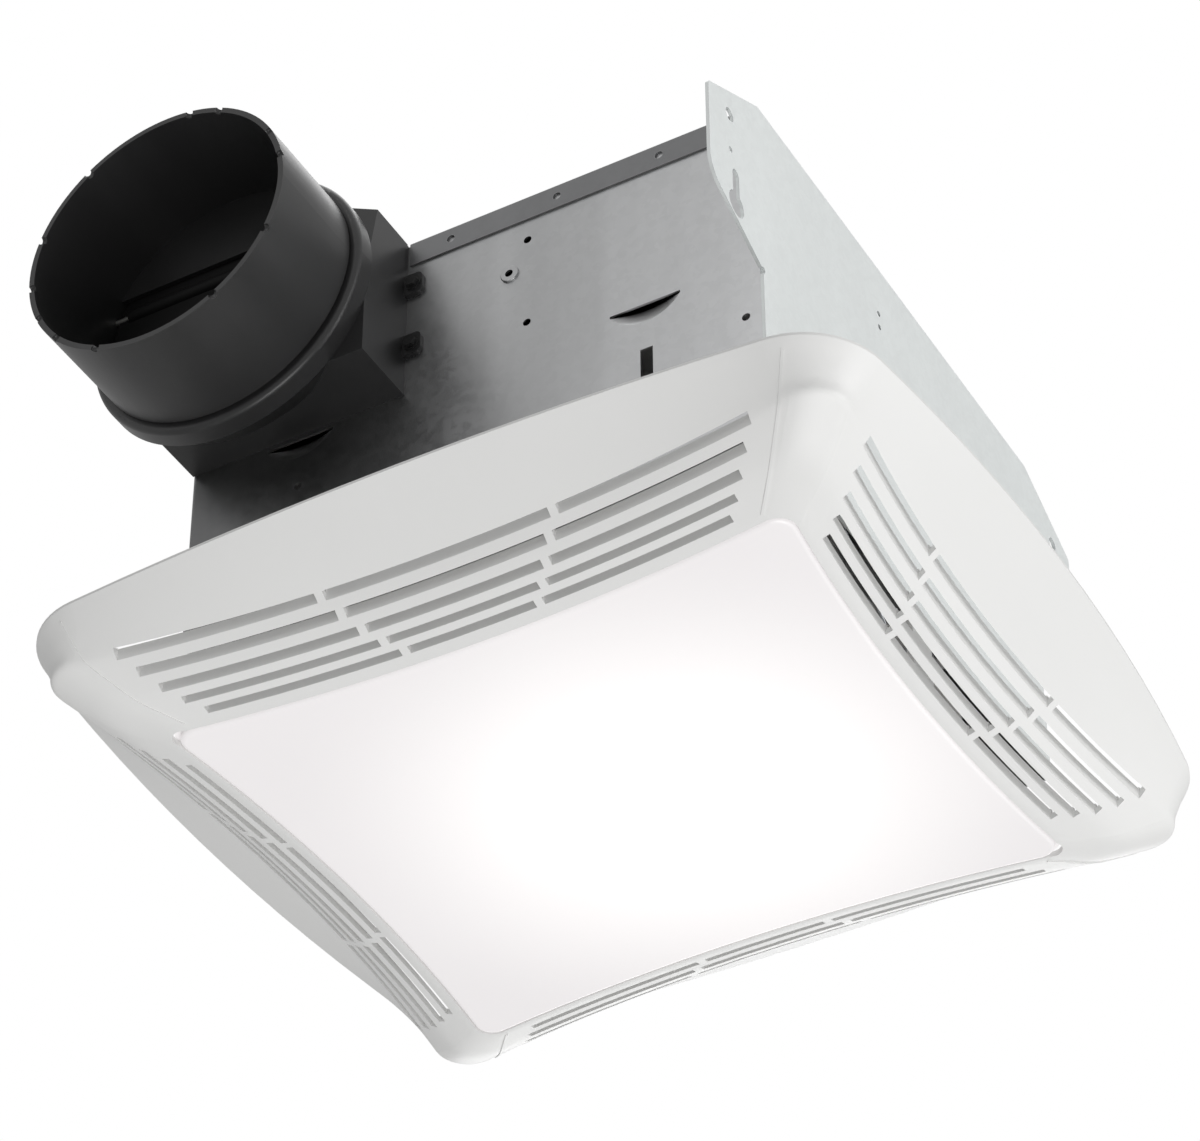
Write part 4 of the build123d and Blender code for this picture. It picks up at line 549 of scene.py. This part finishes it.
cast_metal("rotor_metal", (0.55, 0.55, 0.55), 0.42, 1500.0)
cast_metal("bridge_metal", (0.58, 0.59, 0.60), 0.48, 900.0)
cast_metal("bronze", (0.52, 0.36, 0.20), 0.38, 2500.0)
cast_metal("socket_brass", (0.78, 0.62, 0.32), 0.28, 2000.0)
cast_metal("bulb_metal", (0.72, 0.72, 0.70), 0.26, 2000.0)
lined_metal("lamination_steel", (0.24, 0.26, 0.30), 0.4, "Z", 1600.0)
lined_metal("copper", (0.66, 0.28, 0.12), 0.3, "Y", 1100.0)
print("motor metals")

# %% [markdown]
# ### Lit lens and frosted bulb
# The lamp is on, so the lens glows. A glow is painted as emission, strongest over the bulb,
# because real light through opal plastic would be slow to render and full of noise. Only
# the faces that look down glow: the object's own normal has a negative Z there. So the dark
# space above the grille stays dark, as it is behind the slots of a real fan.

# %% Opal lens
LENS_GLOW = 0.62
BULB_POINT = (0.014, 0.012, -0.02)
BRIGHT_WITHIN = 0.02
FADED_BEYOND = 0.135

tree, shader = start_finish("opal_plastic", 0.30, 0.0)
shader.inputs["Emission Strength"].default_value = LENS_GLOW
skin = use(tree, grain, Fine=700.0, Wave=10.0)
where = add(tree, "TexCoord")
from_bulb = add(tree, "VectorMath", operation="DISTANCE")
from_bulb.inputs[1].default_value = BULB_POINT
tree.links.new(where.outputs["Object"], from_bulb.inputs[0])
near = add(tree, "MapRange", interpolation_type="SMOOTHSTEP")
near.inputs["From Min"].default_value = BRIGHT_WITHIN
near.inputs["From Max"].default_value = FADED_BEYOND
near.inputs["To Min"].default_value = 1.0
near.inputs["To Max"].default_value = 0.0
tree.links.new(from_bulb.outputs["Value"], near.inputs["Value"])
glow = tint(tree, near.outputs["Result"], (0.58, 0.555, 0.562), (1.0, 0.975, 0.965))
facing = add(tree, "SeparateXYZ")
tree.links.new(where.outputs["Normal"], facing.inputs[0])
downward = add(tree, "MapRange")
downward.inputs["From Min"].default_value = 0.2
downward.inputs["From Max"].default_value = -0.2
tree.links.new(facing.outputs["Z"], downward.inputs["Value"])
glow_below = tint(tree, downward.outputs["Result"], (0.03, 0.03, 0.03), (1.0, 1.0, 1.0))
tree.links.new(times(tree, glow, glow_below), shader.inputs["Emission Color"])
body = tint(tree, skin.outputs["Flow"], (0.55, 0.54, 0.54), (0.60, 0.59, 0.59))
tree.links.new(body, shader.inputs["Base Color"])
relief(tree, shader, skin.outputs["Height"], 0.00006, 0.15)
print("opal lens")

# %% Frosted bulb
BULB_GLOW = 0.45

tree, shader = start_finish("frosted_glass", 0.35, 0.0)
shader.inputs["Emission Strength"].default_value = BULB_GLOW
skin = use(tree, grain, Fine=1800.0, Wave=30.0)
glow = tint(tree, skin.outputs["Flow"], (0.95, 0.88, 0.76), (1.0, 0.95, 0.86))
tree.links.new(glow, shader.inputs["Emission Color"])
tree.links.new(glow, shader.inputs["Base Color"])
relief(tree, shader, skin.outputs["Height"], 0.00004, 0.2)
print("frosted bulb")

# %% [markdown]
# ## Dressing the frame
# Every piece of the frame names the slot of its finish, so one loop dresses them all. The loop
# also smooths the shading: faces that meet at less than 30 degrees belong to one curved surface,
# and sharper edges stay crisp. Two pieces then get a duller, darker finish than their slot gives,
# as painted shade: the lid, whose flange looks darker than the walls, and the flap, which is
# kept dark for the shade of the duct.

# %% Give every piece its finish
CRISP_ANGLE = math.radians(30)

for part in frame["record"]["subparts"]:
    node = frame["nodes"][part["node"]]
    node.data.materials.clear()
    node.data.materials.append(FINISHES[part["material_slot"]])
    node.data.shade_smooth()
    node.data.set_sharp_from_angle(angle=CRISP_ANGLE)
# Painted shade: the lid gets a darker zinc than its slot gives.
frame["nodes"]["housing_top"].data.materials[0] = FINISHES["lid_painted_shade"]
# Painted shade: the flap gets a darker, duller black than its slot gives.
frame["nodes"]["damper_flap"].data.materials[0] = FINISHES["flap_painted_shade"]

# %% [markdown]
# ## Wire springs
# Two torsion springs pull the grille up to the ceiling. In the frame each coil is a plain sleeve.
# A wire coil is a helix: a point that turns round an axis while it moves along it. A curve through
# such points, with a round bevel, gives the wire, and it is then turned into a mesh.

# %% Helix for the spring coils
SPRING_TURNS = 2.5
SPRING_RADIUS = 0.0042
SPRING_WIRE = 0.0008
SPRING_LENGTH = 0.0036
POINTS_PER_TURN = 16


def wire_coil(name, centre, turns, coil_radius, wire_radius, length):
    """A coil of round wire about the X axis."""
    helix = bpy.data.curves.new(name, "CURVE")
    helix.dimensions = "3D"
    helix.bevel_depth = wire_radius
    helix.bevel_resolution = 5
    run = helix.splines.new("NURBS")
    count = int(turns * POINTS_PER_TURN) + 1
    run.points.add(count - 1)
    for i, point in enumerate(run.points):
        share = i / (count - 1)
        a = share * turns * 2 * math.pi
        point.co = (centre.x + (share - 0.5) * length, centre.y + coil_radius * math.sin(a),
                    centre.z + coil_radius * math.cos(a), 1)
    run.order_u = 3
    run.use_endpoint_u = True
    helix.use_fill_caps = True
    shaped = bpy.data.objects.new(name, helix)
    scene.collection.objects.link(shaped)
    bpy.context.view_layer.update()
    evaluated = shaped.evaluated_get(bpy.context.evaluated_depsgraph_get())
    mesh = bpy.data.meshes.new_from_object(evaluated)
    bpy.data.objects.remove(shaped)
    coil = bpy.data.objects.new(name, mesh)
    scene.collection.objects.link(coil)
    mesh.materials.clear()
    mesh.materials.append(FINISHES["spring_steel"])
    mesh.shade_smooth()
    return coil


for side in ("left", "right"):
    low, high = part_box("spring_coil_" + side)
    coil = wire_coil("spring_turns_" + side, (low + high) / 2, SPRING_TURNS, SPRING_RADIUS,
                     SPRING_WIRE, SPRING_LENGTH)
    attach(coil, "cover")
    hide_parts("spring_coil_" + side)
    print("coil", side, len(coil.data.polygons), "faces")

# %% [markdown]
# ## Turns of the motor coil
# In the frame the winding is a smooth block. The outer layer of a real one is enamelled copper
# wire, laid side by side. Each turn is a ring of wire that follows the block's rounded outline,
# and the next one lies a wire's width further along. All the turns are one mesh.

# %% Outline of one turn
def rounded_outline(low, high, corner, steps):
    """Points round a rectangle with round corners, in the XZ plane, as (x, z) pairs."""
    points = []
    tips = ((high.x, high.z), (low.x, high.z), (low.x, low.z), (high.x, low.z))
    for quarter, (x, z) in enumerate(tips):
        centre_x = x - corner if x == high.x else x + corner
        centre_z = z - corner if z == high.z else z + corner
        for i in range(steps + 1):
            a = math.radians(90) * (quarter + i / steps)
            points.append((centre_x + corner * math.cos(a), centre_z + corner * math.sin(a)))
    return points


def wound_wire(name, low, high, corner, wire_radius, sides=8, corner_steps=6):
    """Rings of wire side by side round the block from low to high, wound about the Y axis."""
    outline = rounded_outline(low, high, corner, corner_steps)
    turns = int((high.y - low.y) / (2 * wire_radius))
    vertices, faces = [], []
    for turn in range(turns):
        y = low.y + (turn + 0.5) * (high.y - low.y) / turns
        first = len(vertices)
        for i, (x, z) in enumerate(outline):
            ahead, behind = outline[(i + 1) % len(outline)], outline[i - 1]
            out = Vector((ahead[1] - behind[1], 0, behind[0] - ahead[0])).normalized()
            for s in range(sides):
                a = 2 * math.pi * s / sides
                side = out * (wire_radius * math.cos(a))
                vertices.append((x + side.x, y + wire_radius * math.sin(a), z + side.z))
        for i in range(len(outline)):
            for s in range(sides):
                here, on = first + i * sides, first + (i + 1) % len(outline) * sides
                faces.append((here + s, here + (s + 1) % sides, on + (s + 1) % sides, on + s))
    mesh = bpy.data.meshes.new(name)
    mesh.from_pydata(vertices, [], faces)
    mesh.shade_smooth()
    return bpy.data.objects.new(name, mesh), turns


print("winding helpers ready")

# %% [markdown]
# ### Enamelled copper
# Magnet wire is copper under a clear amber enamel. It is glossy, deep orange brown, and each turn
# catches the light a little differently, which the drawn-out noise across the turns gives.

# %% Enamelled wire and the winding
WINDING_CORNER = 0.0042
WINDING_WIRE = 0.00032

tree, shader = start_finish("copper_wire", 0.26, 0.9)
shader.inputs["Coat Weight"].default_value = 0.4
turn_tone = use(tree, streaks, X=12.0, Y=900.0, Z=12.0)
tree.links.new(tint(tree, turn_tone.outputs[0], (0.40, 0.13, 0.05), (0.80, 0.36, 0.16)),
               shader.inputs["Base Color"])
tree.links.new(spread(tree, turn_tone.outputs[0], 0.18, 0.36), shader.inputs["Roughness"])
low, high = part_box("motor_coil")
winding, turns = wound_wire("coil_turns", low, high, WINDING_CORNER, WINDING_WIRE)
scene.collection.objects.link(winding)
winding.data.materials.append(FINISHES["copper_wire"])
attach(winding, "housing")
print(turns, "turns of wire")
